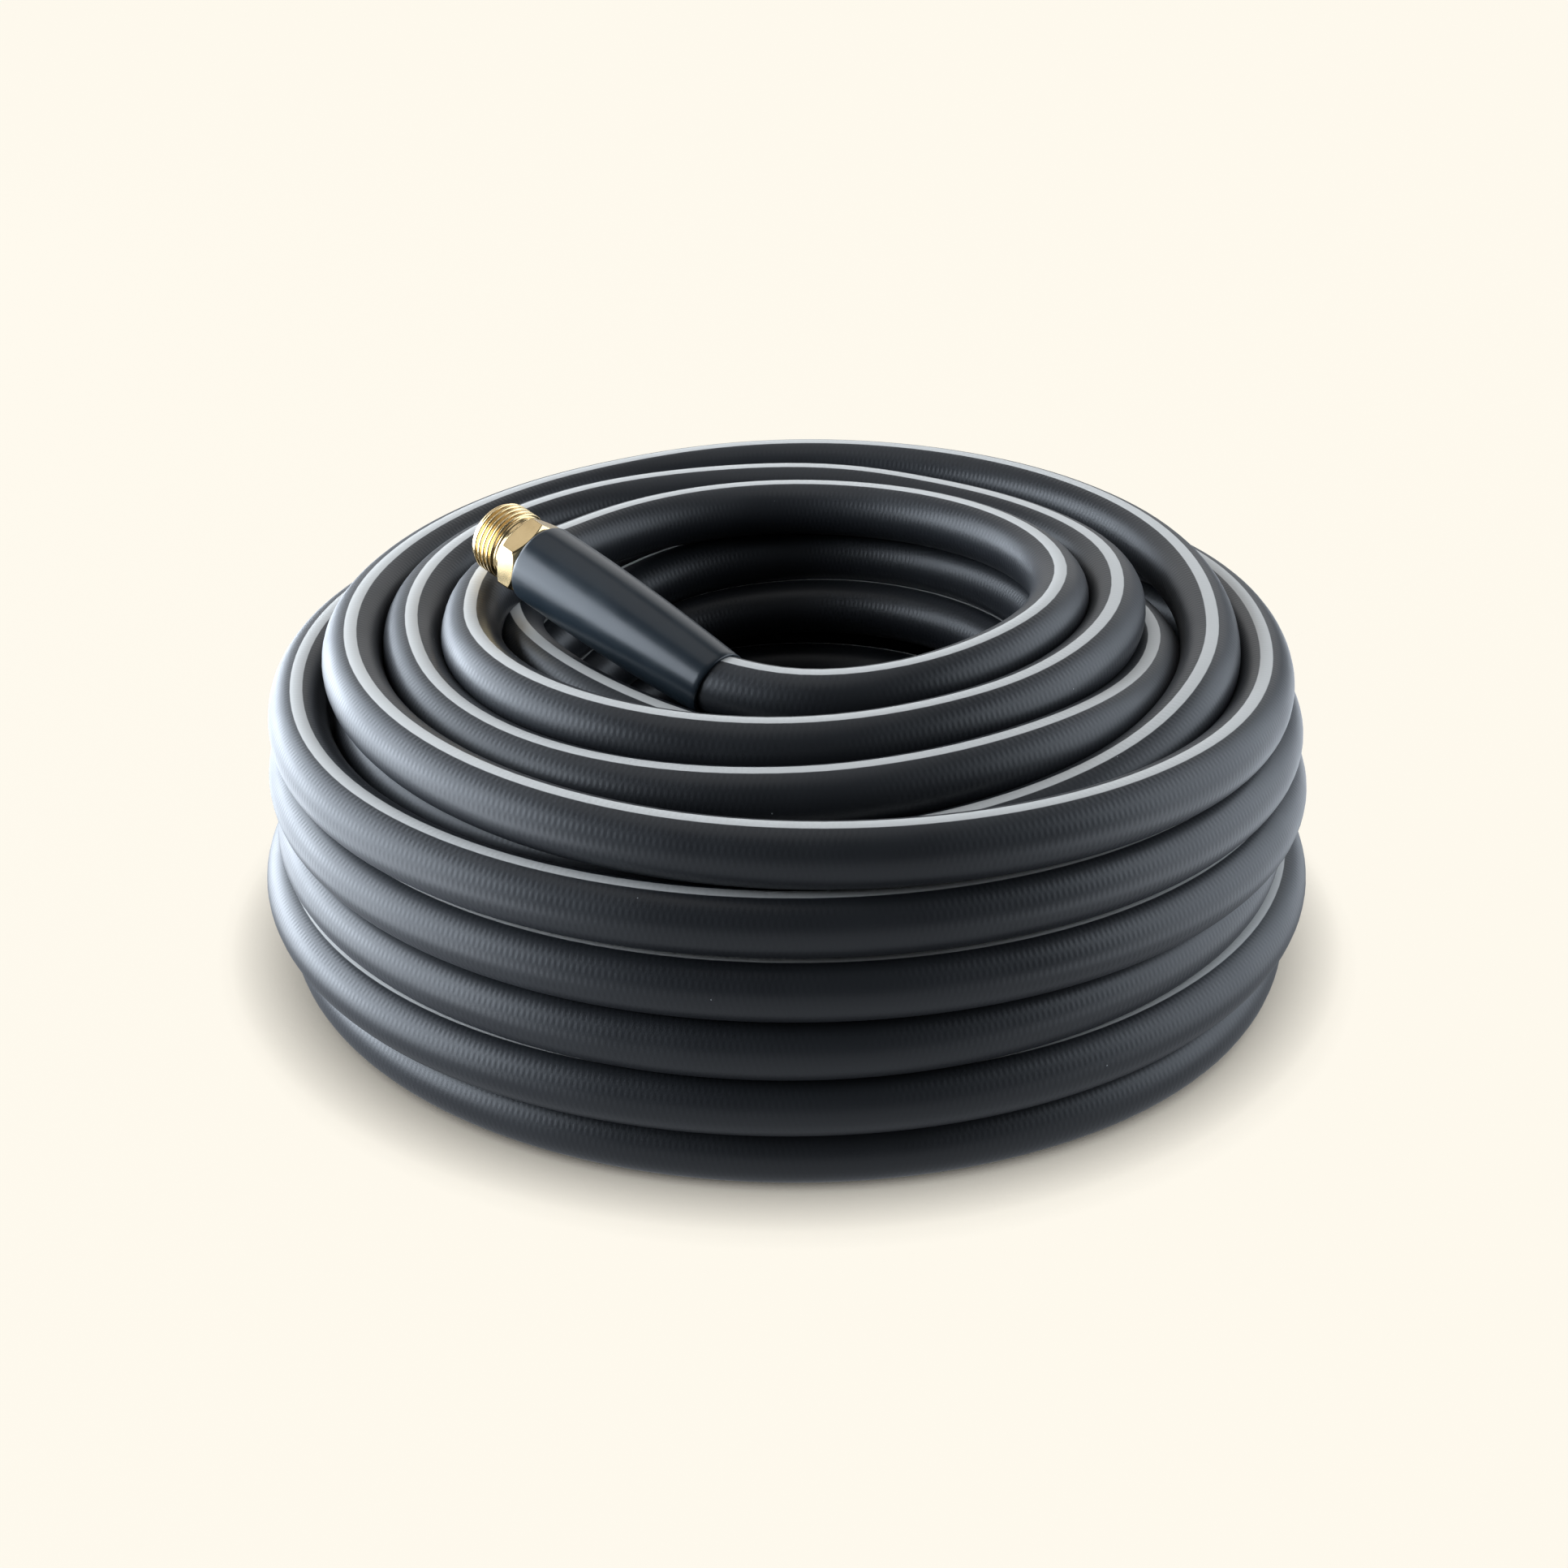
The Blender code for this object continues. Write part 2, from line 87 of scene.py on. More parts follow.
class Slot(Enum):
    """The material slots of the part's record."""

    RUBBER = "hose_rubber"
    SLEEVE = "sleeve_plastic"
    BRASS = "brass"
    WASHER = "washer_rubber"


# Shapes as arrays


def unit(vectors: Array) -> Array:
    """Scale each vector along the last axis to length one."""
    return vectors / np.maximum(np.linalg.norm(vectors, axis=-1, keepdims=True), 1e-12)


def smooth_step(values: Array, low: float, high: float) -> Array:
    """Rise from 0 at low to 1 at high along 3t^2 - 2t^3."""
    share = np.clip((values - low) / (high - low), 0.0, 1.0)
    return share * share * (3.0 - 2.0 * share)


def window(values: Array, rise: Span, fall: Span) -> Array:
    """Rise from 0 to 1 over one span of values and fall back to 0 over a later one."""
    return smooth_step(values, *rise) * smooth_step(-values, -fall[1], -fall[0])


def distances(line: Array) -> Array:
    """Give the distance along a line of points to each of them."""
    return np.concatenate([[0.0], np.cumsum(np.linalg.norm(np.diff(line, axis=0), axis=1))])


def bends(line: Array) -> Array:
    """Give twice the way from each inner point to the middle between its neighbours."""
    return line[:-2] + line[2:] - 2 * line[1:-1]


def soft_least(first: Array, second: Array, width: float) -> Array:
    """Take the smaller of two values, rounding the corner where they meet.

    The rounding takes w/4 * (1 - d/w)^2 off, where d is the difference and w the width.

    Args:
        first: one set of values.
        second: the other set.
        width: how far apart two values still blend.

    Returns:
        The blended smaller values.
    """
    near = np.clip(1.0 - np.abs(first - second) / width, 0.0, 1.0)
    return np.minimum(first, second) - near * near * width / 4.0


def smooth_curve(points: Array, count: int) -> Array:
    """Read points at even distances from a Catmull-Rom curve through the given ones.

    Args:
        points: the curve's own points, one a row.
        count: how many points to read.

    Returns:
        The read points, one a row.
    """
    ends = np.vstack([2 * points[0] - points[1], points, 2 * points[-1] - points[-2]])
    share = np.linspace(0.0, 1.0, CURVE_STEPS, endpoint=False)[:, None, None]
    before, start, end, after = ends[:-3], ends[1:-2], ends[2:-1], ends[3:]
    dense = 0.5 * (2 * start + (end - before) * share
                   + (2 * before - 5 * start + 4 * end - after) * share ** 2
                   + (3 * start - before - 3 * end + after) * share ** 3)
    dense = np.vstack([dense.transpose(1, 0, 2).reshape(-1, 3), points[-1:]])
    along = distances(dense)
    wanted = np.linspace(0.0, along[-1], count)
    return np.stack([np.interp(wanted, along, dense[:, axis]) for axis in range(3)], axis=1)


def rounded_section(corners: Array, radii: Array, steps: int = 5) -> Array:
    """Round the corners of a closed section with quadratic curves.

    Each corner C becomes (1-t)^2 A + 2t(1-t) C + t^2 B. A and B lie on the two sides, at the corner's
    radius from it.

    Args:
        corners: the section's corners as radius and height, one a row.
        radii: how far each corner's rounding reaches along its sides.
        steps: points on each rounding.

    Returns:
        The rounded section as radius and height, one a row.
    """
    before = corners - np.roll(corners, 1, axis=0)
    after = np.roll(corners, -1, axis=0) - corners
    lengths = [np.linalg.norm(sides, axis=1, keepdims=True) for sides in (before, after)]
    reach = [np.minimum(radii[:, None], length * WIDEST_ROUNDING) for length in lengths]
    near = corners - unit(before) * reach[0]
    far = corners + unit(after) * reach[1]
    share = np.linspace(0.0, 1.0, steps)[None, :, None]
    curve = ((1 - share) ** 2 * near[:, None] + 2 * share * (1 - share) * corners[:, None]
             + share ** 2 * far[:, None])
    return curve.reshape(-1, 2)


def turned_grid(radius: Array, height: Array, angles: Array) -> Array:
    """Place a grid of radii and heights round the Z axis: (r cos a, r sin a, h)."""
    level = height + np.zeros_like(radius)
    return np.stack([radius * np.cos(angles), radius * np.sin(angles), level], axis=-1)


def on_axis(points: Array, start: Array, direction: Array) -> Array:
    """Carry points from the Z axis to an axis with its own start and direction.

    Args:
        points: points whose Z runs along the axis.
        start: where the axis starts.
        direction: the unit vector along it.

    Returns:
        The points in the part's frame.
    """
    side = unit(np.cross(np.array([0.0, 0.0, 1.0]), direction))
    upward = np.cross(direction, side)
    return start + points @ np.stack([side, upward, direction])


def grid_quads(rows: int, columns: int, rows_close: bool) -> Array:
    """Give the quads of a grid whose columns close, and whose rows close too if asked."""
    row = np.arange(rows if rows_close else rows - 1)[:, None]
    column = np.arange(columns)[None, :]
    next_row = (row + 1) % rows
    next_column = (column + 1) % columns
    quads = [row * columns + column, row * columns + next_column,
             next_row * columns + next_column, next_row * columns + column]
    return np.stack([quad.ravel() for quad in quads], axis=1)


def grid_uv(quads: Array, along: Array, columns: int) -> Array:
    """Give each quad corner its distance along the grid and its share of the way round.

    Args:
        quads: the grid's quads, row by row.
        along: the distance of each row, with one more entry where the rows close.
        columns: how many columns the grid has.

    Returns:
        The corners' UV pairs, in loop order.
    """
    row = np.arange(len(quads)) // columns
    column = np.arange(len(quads)) % columns
    u = np.stack([along[row], along[row], along[row + 1], along[row + 1]], axis=1)
    v = np.stack([column, column + 1, column + 1, column], axis=1) / columns
    return np.stack([u, v], axis=-1).reshape(-1, 2)


def signed_volume(points: Array, quads: Array) -> float:
    """Give the volume inside closed quads, negative where their faces point in."""
    a, b, c, d = (points[quads[:, corner]] for corner in range(4))
    first = np.einsum("ij,ij->i", a, np.cross(b, c)).sum()
    second = np.einsum("ij,ij->i", a, np.cross(c, d)).sum()
    return float(first + second) / 6.0


def new_piece(name: str, points: Array, quads: Array, uv: Array, caps: list[Array],
              material: Material, slot: Slot, body: Body, *replaced: str) -> Piece:
    """Make a smooth-shaded piece from arrays, dress it and let it ride on its body.

    Args:
        name: the piece's name.
        points: its points in the part's frame.
        quads: its four-sided faces as point numbers.
        uv: the UV pair of each quad corner.
        caps: end faces as rings of point numbers.
        material: its finish.
        slot: the record's slot for that finish; not used.
        body: the body that it rides on.
        replaced: the CAD nodes that it stands for.

    Returns:
        The new object.
    """
    if signed_volume(points, quads) < 0:
        quads = quads[:, ::-1]
        uv = uv.reshape(-1, 4, 2)[:, ::-1].reshape(-1, 2)
        caps = [cap[::-1] for cap in caps]
    mesh = bpy.data.meshes.new(name)
    mesh.vertices.add(len(points))
    mesh.vertices.foreach_set("co", points.astype(np.float32).ravel())
    corners = np.concatenate([quads.ravel(), *caps]).astype(np.int32)
    sizes = np.concatenate([np.full(len(quads), 4), [len(cap) for cap in caps]])
    starts = np.concatenate([[0], np.cumsum(sizes)[:-1]]).astype(np.int32)
    mesh.loops.add(len(corners))
    mesh.loops.foreach_set("vertex_index", corners)
    mesh.polygons.add(len(sizes))
    mesh.polygons.foreach_set("loop_start", starts)
    mesh.update(calc_edges=True)
    layer = mesh.uv_layers.new(name=UV_NAME)
    flat = np.zeros((len(corners), 2), np.float32)
    flat[:len(uv)] = uv
    layer.data.foreach_set("uv", flat.ravel())
    mesh.validate()
    mesh.shade_smooth()
    mesh.materials.append(material)
    piece = bpy.data.objects.new(name, mesh)
    bpy.context.scene.collection.objects.link(piece)
    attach(piece, body.value)
    if replaced:
        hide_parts(*replaced)
    return piece


# Materials


@dataclass(frozen=True)
class NodeBench:
    """Adds and joins shader nodes in one tree, and feeds the tree's shader if it has one."""

    tree: Tree
    shader: Node | None = None

    def add(self, kind: str, settings: dict | None = None, **inputs: object) -> Node:
        """Add a node, with its settings and its inputs.

        Args:
            kind: the node's type without the ShaderNode in front.
            settings: the node's own properties.
            inputs: values or sockets for its inputs, by name with _ for a blank, or by number as in_0.

        Returns:
            The new node.
        """
        node = self.tree.nodes.new("ShaderNode" + kind)
        for key, value in (settings or {}).items():
            setattr(node, key, value)
        for key, value in inputs.items():
            number = key.removeprefix("in_")
            socket = node.inputs[int(number) if number.isdigit() else key.replace("_", " ")]
            if isinstance(value, Socket):
                self.tree.links.new(value, socket)
            else:
                socket.default_value = value
        return node

    def math(self, operation: str, *values: object) -> Socket:
        """Add a Math node and give its output."""
        inputs = {f"in_{index}": value for index, value in enumerate(values)}
        return self.add("Math", {"operation": operation}, **inputs).outputs[0]

    def remap(self, value: object, low: float, high: float, to_low: float,
              to_high: float) -> Socket:
        """Add a smooth Map Range node and give its output."""
        return self.add("MapRange", {"interpolation_type": "SMOOTHSTEP"}, Value=value, From_Min=low,
                        From_Max=high, To_Min=to_low, To_Max=to_high).outputs[0]

    def mix(self, share: object, first: object, second: object) -> Socket:
        """Add a colour Mix node and give its output."""
        node = self.add("Mix", {"data_type": "RGBA"}, in_0=share, in_6=first, in_7=second)
        return node.outputs[2]

    def place_and_grain(self, shared: "SharedEffects",
                        **scales: float) -> tuple[Socket, Node]:
        """Add the object's own coordinates and the shared grain on them.

        Args:
            shared: the node groups.
            scales: the grain group's own scales, by name with _ for a blank.

        Returns:
            The coordinates, and the grain node with its Height and its Cloud.
        """
        place = self.add("TexCoord").outputs["Object"]
        return place, self.add("Group", {"node_tree": shared.grain}, Vector=place, **scales)

    def along_and_round(self) -> tuple[Socket, Socket]:
        """Add the piece's UV: metres along its section or length, and the share of the way round."""
        uv = self.add("SeparateXYZ", Vector=self.add("UVMap", {"uv_map": UV_NAME}).outputs[0])
        return uv.outputs[0], uv.outputs[1]

    def finish(self, colour: Socket, roughness: Socket, height: Socket, strength: float,
               distance: float = 0.0002) -> None:
        """Feed the shader its colour, its roughness and a bump.

        Args:
            colour: the base colour.
            roughness: the roughness.
            height: the bump's height.
            strength: the bump's strength.
            distance: the bump's depth in metres.
        """
        bump = self.add("Bump", Strength=strength, Distance=distance, Height=height).outputs[0]
        fed = {"Base Color": colour, "Roughness": roughness, "Normal": bump}
        for name, socket in fed.items():
            self.tree.links.new(socket, self.shader.inputs[name])


def new_group(name: str, inputs: dict[str, float],
              outputs: tuple[str, ...]) -> tuple[Tree, NodeBench]:
    """Start a shader node group with a Vector input, number inputs and number outputs.

    Args:
        name: the group's name.
        inputs: its number inputs and their usual values.
        outputs: its number outputs.

    Returns:
        The group and a bench that works in it.
    """
    tree = bpy.data.node_groups.new(name, "ShaderNodeTree")
    tree.interface.new_socket("Vector", in_out="INPUT", socket_type="NodeSocketVector")
    for label, usual in inputs.items():
        socket = tree.interface.new_socket(label, in_out="INPUT", socket_type="NodeSocketFloat")
        socket.default_value = usual
    for label in outputs:
        tree.interface.new_socket(label, in_out="OUTPUT", socket_type="NodeSocketFloat")
    return tree, NodeBench(tree)


def fine_grain_group() -> Tree:
    """Make the grain and the slow clouds that all finishes share.

    Returns:
        A group whose Height is fine noise over a slower one, and whose Cloud is a slow mottle from
        0 to 1.
    """
    scales = {"Grain Scale": 1500.0, "Cloud Scale": 14.0}
    tree, bench = new_group("fine_grain", scales, ("Height", "Cloud"))
    given = tree.nodes.new("NodeGroupInput").outputs
    result = tree.nodes.new("NodeGroupOutput")
    fine = bench.add("TexNoise", Vector=given[0], Scale=given[1], Detail=2.0, Roughness=0.6).outputs[0]
    slow_scale = bench.math("MULTIPLY", given[1], 0.22)
    slow = bench.add("TexNoise", Vector=given[0], Scale=slow_scale, Detail=1.0).outputs[0]
    height = bench.math("MULTIPLY_ADD", slow, 0.6, fine)
    cloud = bench.add("TexNoise", Vector=given[0], Scale=given[2], Detail=3.0, Roughness=0.55)
    tree.links.new(height, result.inputs[0])
    tree.links.new(bench.remap(cloud.outputs[0], 0.3, 0.7, 0.0, 1.0), result.inputs[1])
    return tree


def specks_group() -> Tree:
    """Make the scattered pale dust specks on the hose.

    Returns:
        A group whose Mask is 1 on a speck. Few cells of a Voronoi pattern hold one.
    """
    shares = {"Scale": 260.0, "Share": 0.012, "Size": 0.07}
    tree, bench = new_group("dust_specks", shares, ("Mask",))
    given = tree.nodes.new("NodeGroupInput").outputs
    result = tree.nodes.new("NodeGroupOutput")
    cells = bench.add("TexVoronoi", Vector=given[0], Scale=given[1])
    pick = bench.add("SeparateColor", Color=cells.outputs["Color"]).outputs[0]
    chosen = bench.math("LESS_THAN", pick, given[2])
    near = bench.math("LESS_THAN", cells.outputs["Distance"], given[3])
    tree.links.new(bench.math("MULTIPLY", chosen, near), result.inputs[0])
    return tree


@dataclass(frozen=True)
class SharedEffects:
    """The node groups that the finishes use."""

    grain: Tree
    specks: Tree

    @classmethod
    def build(cls) -> "SharedEffects":
        """Make the groups once."""
        return cls(fine_grain_group(), specks_group())


def new_finish(name: str, **values: object) -> tuple[Material, NodeBench]:
    """Start a material and set plain values on its Principled shader.

    Args:
        name: the material's name.
        values: plain values for the shader's inputs, by name with _ for a blank.

    Returns:
        The material, and a bench that works in it.
    """
    material = bpy.data.materials.new(name)
    material.use_nodes = True
    shader = material.node_tree.nodes["Principled BSDF"]
    for key, value in values.items():
        shader.inputs[key.replace("_", " ")].default_value = value
    return material, NodeBench(material.node_tree, shader)


@dataclass(frozen=True)
class HoseRubberFinish:
    """Satin dark grey rubber with a light stripe on top and the braid faintly showing through."""

    rubber: Colour = (0.0150, 0.0165, 0.0195, 1.0)
    rubber_pale: Colour = (0.0200, 0.0220, 0.0255, 1.0)
    stripe: Colour = (0.66, 0.65, 0.62, 1.0)
    speck: Colour = (0.30, 0.31, 0.32, 1.0)
    stripe_width: float = 0.0046
    stripe_edge: float = 0.0002
    wander: float = 0.0008
    braid_pitch: float = 0.0021
    braid_turns: float = 9.0

    def build(self, shared: SharedEffects) -> Material:
        """Make the material, whose stripe wanders a little from the middle of UV's way round."""
        material, bench = new_finish("hose_rubber_look")
        place, grain = bench.place_and_grain(shared)
        along, around = bench.along_and_round()
        wander = bench.add("TexNoise", {"noise_dimensions": "1D"}, W=along, Scale=9.0, Detail=1.0)
        drift = bench.math("MULTIPLY_ADD", wander.outputs[0], 2 * self.wander, -self.wander)
        off_top = bench.math("ABSOLUTE", bench.math("ADD", bench.math("SUBTRACT", around, 0.5), drift))
        arc = bench.math("MULTIPLY", off_top, math.pi * HOSE_DIAMETER)
        half = self.stripe_width / 2
        stripe = bench.remap(arc, half - self.stripe_edge, half + self.stripe_edge, 1.0, 0.0)
        rubber = bench.mix(grain.outputs[1], self.rubber, self.rubber_pale)
        specks = bench.add("Group", {"node_tree": shared.specks}, Vector=place).outputs[0]
        rubber = bench.mix(specks, rubber, self.speck)
        worn = bench.math("MULTIPLY_ADD", grain.outputs[1], 0.08, 0.40)
        height = bench.math("MULTIPLY_ADD", self.braid(bench, along, around), 0.5,
                            bench.math("MULTIPLY", grain.outputs[0], 0.25))
        bench.finish(bench.mix(stripe, rubber, self.stripe),
                     bench.math("MULTIPLY_ADD", stripe, 0.10, worn), height, 0.22)
        return material

    def braid(self, bench: NodeBench, along: Socket, around: Socket) -> Socket:
        """Cross two sets of spiral ridges: sin(along / pitch + turns * around) and its mirror image.

        Args:
            bench: where the nodes go.
            along: metres along the hose.
            around: share of the way round.

        Returns:
            The ridges' height, from about -1 to 1.
        """
        wave = bench.math("MULTIPLY", along, math.tau / self.braid_pitch)
        twist = bench.math("MULTIPLY", around, math.tau * self.braid_turns)
        one = bench.math("SINE", bench.math("ADD", wave, twist))
        other = bench.math("SINE", bench.math("SUBTRACT", wave, twist))
        return bench.math("MULTIPLY", bench.math("ADD", one, other), 0.5)


@dataclass(frozen=True)
class MouldedFinish:
    """A plain moulding that pales and dulls a little in slow clouds."""

    name: str
    dark: Colour
    pale: Colour
    roughness: float
    dulling: float
    bump: float
    grain_scale: float
    cloud_scale: float

    def build(self, shared: SharedEffects) -> Material:
        """Make the material."""
        material, bench = new_finish(self.name)
        _, grain = bench.place_and_grain(shared, Grain_Scale=self.grain_scale,
                                         Cloud_Scale=self.cloud_scale)
        height, cloud = grain.outputs
        bench.finish(bench.mix(cloud, self.dark, self.pale),
                     bench.math("MULTIPLY_ADD", cloud, self.dulling, self.roughness), height, self.bump)
        return material


# The sleeves' glossy dark blue-grey plastic, and the washer's matt black rubber.
SLEEVE_FINISH = MouldedFinish("sleeve_plastic_look", (0.013, 0.020, 0.027, 1.0),
                              (0.017, 0.026, 0.034, 1.0), 0.28, 0.06, 0.015, 700.0, 40.0)
WASHER_FINISH = MouldedFinish("washer_rubber_look", (0.012, 0.012, 0.013, 1.0),
                              (0.030, 0.030, 0.031, 1.0), 0.60, 0.15, 0.25, 1500.0, 220.0)


@dataclass(frozen=True)
class BrassFinish:
    """Bright machined brass with fine turning marks and a little tarnish in slow clouds."""

    bright: Colour = (0.87, 0.67, 0.37, 1.0)
    tarnished: Colour = (0.68, 0.47, 0.21, 1.0)

    def build(self, shared: SharedEffects) -> Material:
        """Make the material. Turning marks run round the axis, so they vary along UV's U only."""
        material, bench = new_finish("brass_look", Metallic=1.0)
        _, grain = bench.place_and_grain(shared, Cloud_Scale=90.0)
        cloud = grain.outputs[1]
        marks = bench.add("TexNoise", {"noise_dimensions": "1D"}, W=bench.along_and_round()[0],
                          Scale=1800.0, Detail=1.0)
        tarnish = bench.math("MULTIPLY", cloud, 0.35)
        bench.finish(bench.mix(tarnish, self.bright, self.tarnished),
                     bench.math("MULTIPLY_ADD", cloud, 0.08, 0.20), marks.outputs[0], 0.03, 0.00005)
        return material


# The coil


@dataclass(frozen=True)
class Stretch:
    """A run of the hose round the coil.

    Each station is an angle in degrees, which counts on from turn to turn, and a radius and a height in
    millimetres. A tight hold keeps a stretch where its stations say, and a loose one lets it settle
    between its neighbours.
    """

    stations: tuple[Point, ...]
    hold: float


def evenly(first: float, step: float, radii: tuple[float, ...],
           heights: tuple[float, ...]) -> tuple[Point, ...]:
    """Pair radii, one each step of angle, with heights that are spread evenly over the same run.

    Args:
        first: the first station's angle.
        step: the angle from one station to the next.
        radii: one radius a station.
        heights: as many heights as the run has changes of level, at even distances.

    Returns:
        The stations as angle, radius and height.
    """
    angles = first + step * np.arange(len(radii))
    levels = np.interp(angles, np.linspace(angles[0], angles[-1], len(heights)), heights)
    return tuple(zip(angles.tolist(), radii, levels.tolist()))


# How firmly stations hold the hose, and how far one smoothing moves a point to its neighbours' middle.
TIGHT = 0.10
LOOSE = 0.01
SMOOTHING = 0.25

MOUTH_TURN = Stretch((
    (-90, 95.4, 132.4), (-85, 95.5, 132.7), (-75, 97, 133.6), (-67, 97.5, 134), (-60, 98, 134.2),
    (-44, 99.5, 134.8), (-30, 101.3, 135.2), (-15, 102.7, 135.4), (0, 103.7, 135.4),
    (15, 102.4, 135), (30, 101, 134.4), (45, 100, 133.3), (60, 100, 132.2), (75, 100, 131.1),
    (90, 100.5, 130.5), (105, 100, 130), (120, 98.5, 130), (135, 98, 130), (150, 97.5, 130),
    (165, 102.5, 130.2), (180, 112, 130.3)), TIGHT)
SECOND_TURN = Stretch(evenly(
    195, 15,
    (118, 125, 128, 128, 126, 122.5, 120, 118, 118, 119.5, 121.5, 125, 128, 127.5, 125, 123, 122.5, 123,
     125, 128, 132),
    (129.5, 129.5, 129.5, 129.5, 129, 128.5, 128, 127)), TIGHT)
THIRD_TURN = Stretch(evenly(
    510, 15,
    (136, 138, 138, 138, 138, 140, 141.5, 142.5, 142.5, 142.5, 142.5, 143, 142, 138.5, 137, 135),
    (126, 123, 122, 121.5, 121.5, 121.5, 121.5, 118, 110)), TIGHT)
SUNKEN_TURN = Stretch((
    (765, 134, 107), (800, 130, 105), (840, 122, 107), (865, 114, 112), (885, 107, 117),
    (895, 103, 119.5), (905, 99.5, 121), (915, 95.7, 121), (930, 92.7, 121), (940, 92, 121),
    (948, 92.3, 120.5), (960, 94.3, 119.5), (970, 98, 118.5), (985, 103, 117), (996, 106, 115),
    (1010, 107, 113.5), (1030, 106, 113), (1050, 105, 113), (1080, 104, 112.5), (1110, 105, 111),
    (1140, 107, 109), (1170, 108, 107)), TIGHT / 2)
INSIDE = Stretch((
    (1185, 106, 107), (1210, 102, 104), (1240, 102.5, 97), (1290, 102, 95), (1340, 100, 96),
    (1400, 100.5, 99), (1440, 100, 99.5), (1470, 98.5, 98.5), (1500, 98, 96), (1530, 97, 93),
    (1567, 94, 88), (1600, 93, 84), (1640, 93, 78), (1700, 92, 72), (1800, 93, 66), (1890, 92, 62),
    (1930, 91, 59), (1980, 91, 51), (2060, 92, 44), (2160, 92, 41), (2250, 92, 40), (2290, 92, 33),
    (2340, 92, 25), (2420, 92, 20), (2520, 93, 18), (2610, 95, 15.5), (2680, 102, 13),
    (2780, 111, 11), (3140, 133, 11), (3500, 156, 11), (3680, 164, 20), (3860, 163, 33),
    (4220, 140, 34), (4580, 118, 36), (4940, 128, 56), (5300, 151, 54), (5660, 163, 76),
    (6020, 140, 77), (6380, 121, 99), (6520, 124, 101), (6620, 140, 101)), LOOSE)
TOP_OUTER_TURN = Stretch((
    (6660, 156, 101), (6690, 162, 101), (6720, 161, 102), (6750, 157, 104), (6765, 155, 108),
    (6780, 155, 112), (6795, 155.5, 116), (6810, 155.5, 119), (6825, 156, 120.5),
    (6840, 158, 120.5), (6855, 163, 120.5), (6870, 170.5, 120), (6885, 175, 119.5),
    (6900, 178, 119), (6915, 178, 119), (6930, 177, 119), (6945, 173, 119), (6960, 168, 119.5),
    (6975, 163, 120), (6990, 160, 120), (7005, 159, 120), (7020, 159, 119.5), (7035, 160.5, 119),
    (7050, 163, 119), (7065, 166, 119), (7080, 169.5, 119), (7095, 172.5, 119), (7110, 176, 119),
    (7125, 178.5, 119), (7140, 181, 118.5), (7155, 181.5, 117), (7170, 179.5, 115),
    (7185, 178, 112.5), (7200, 178, 110), (7215, 180, 107.5), (7230, 183, 105), (7260, 184, 101),
    (7290, 183, 98.5), (7335, 181, 100), (7380, 180, 102), (7395, 182, 101), (7410, 184.5, 100),
    (7425, 185, 100), (7440, 184, 99), (7470, 182, 97.5)), TIGHT)
OUTER_WALL = Stretch((
    (7560, 184, 90), (7650, 185, 82), (7740, 183, 76), (7785, 184.5, 76), (7830, 186, 76),
    (7920, 185.5, 68), (8010, 184, 61), (8100, 181.5, 54.5), (8145, 184, 54.5), (8190, 187, 54.5),
    (8280, 181, 50), (8325, 179, 49), (8345, 179, 48.5), (8370, 182, 44), (8400, 186, 38),
    (8460, 188.5, 31), (8505, 187.5, 32), (8550, 186, 33), (8595, 187, 32.5), (8640, 188.5, 31.5),
    (8670, 190, 31.5), (8690, 192, 32.5), (8705, 192, 32.5), (8715, 190, 30), (8725, 187, 25.5),
    (8740, 185, 19.5), (8760, 184, 15), (8790, 182, 12), (8820, 180, 11), (8865, 181, 11),
    (8910, 181.5, 11), (8940, 185, 11), (8955, 187, 11), (8965, 187, 11), (8985, 184, 11),
    (9010, 182, 11), (9045, 182, 11.2)), TIGHT)

# The tail's own points behind the coil, in millimetres from the coil's centre.
TAIL = ((108.5, 148.9, 11.2), (89.5, 167.9, 11.3), (71.5, 185.0, 12.0), (51.0, 200.0, 13.6),
        (28.0, 210.0, 15.7))


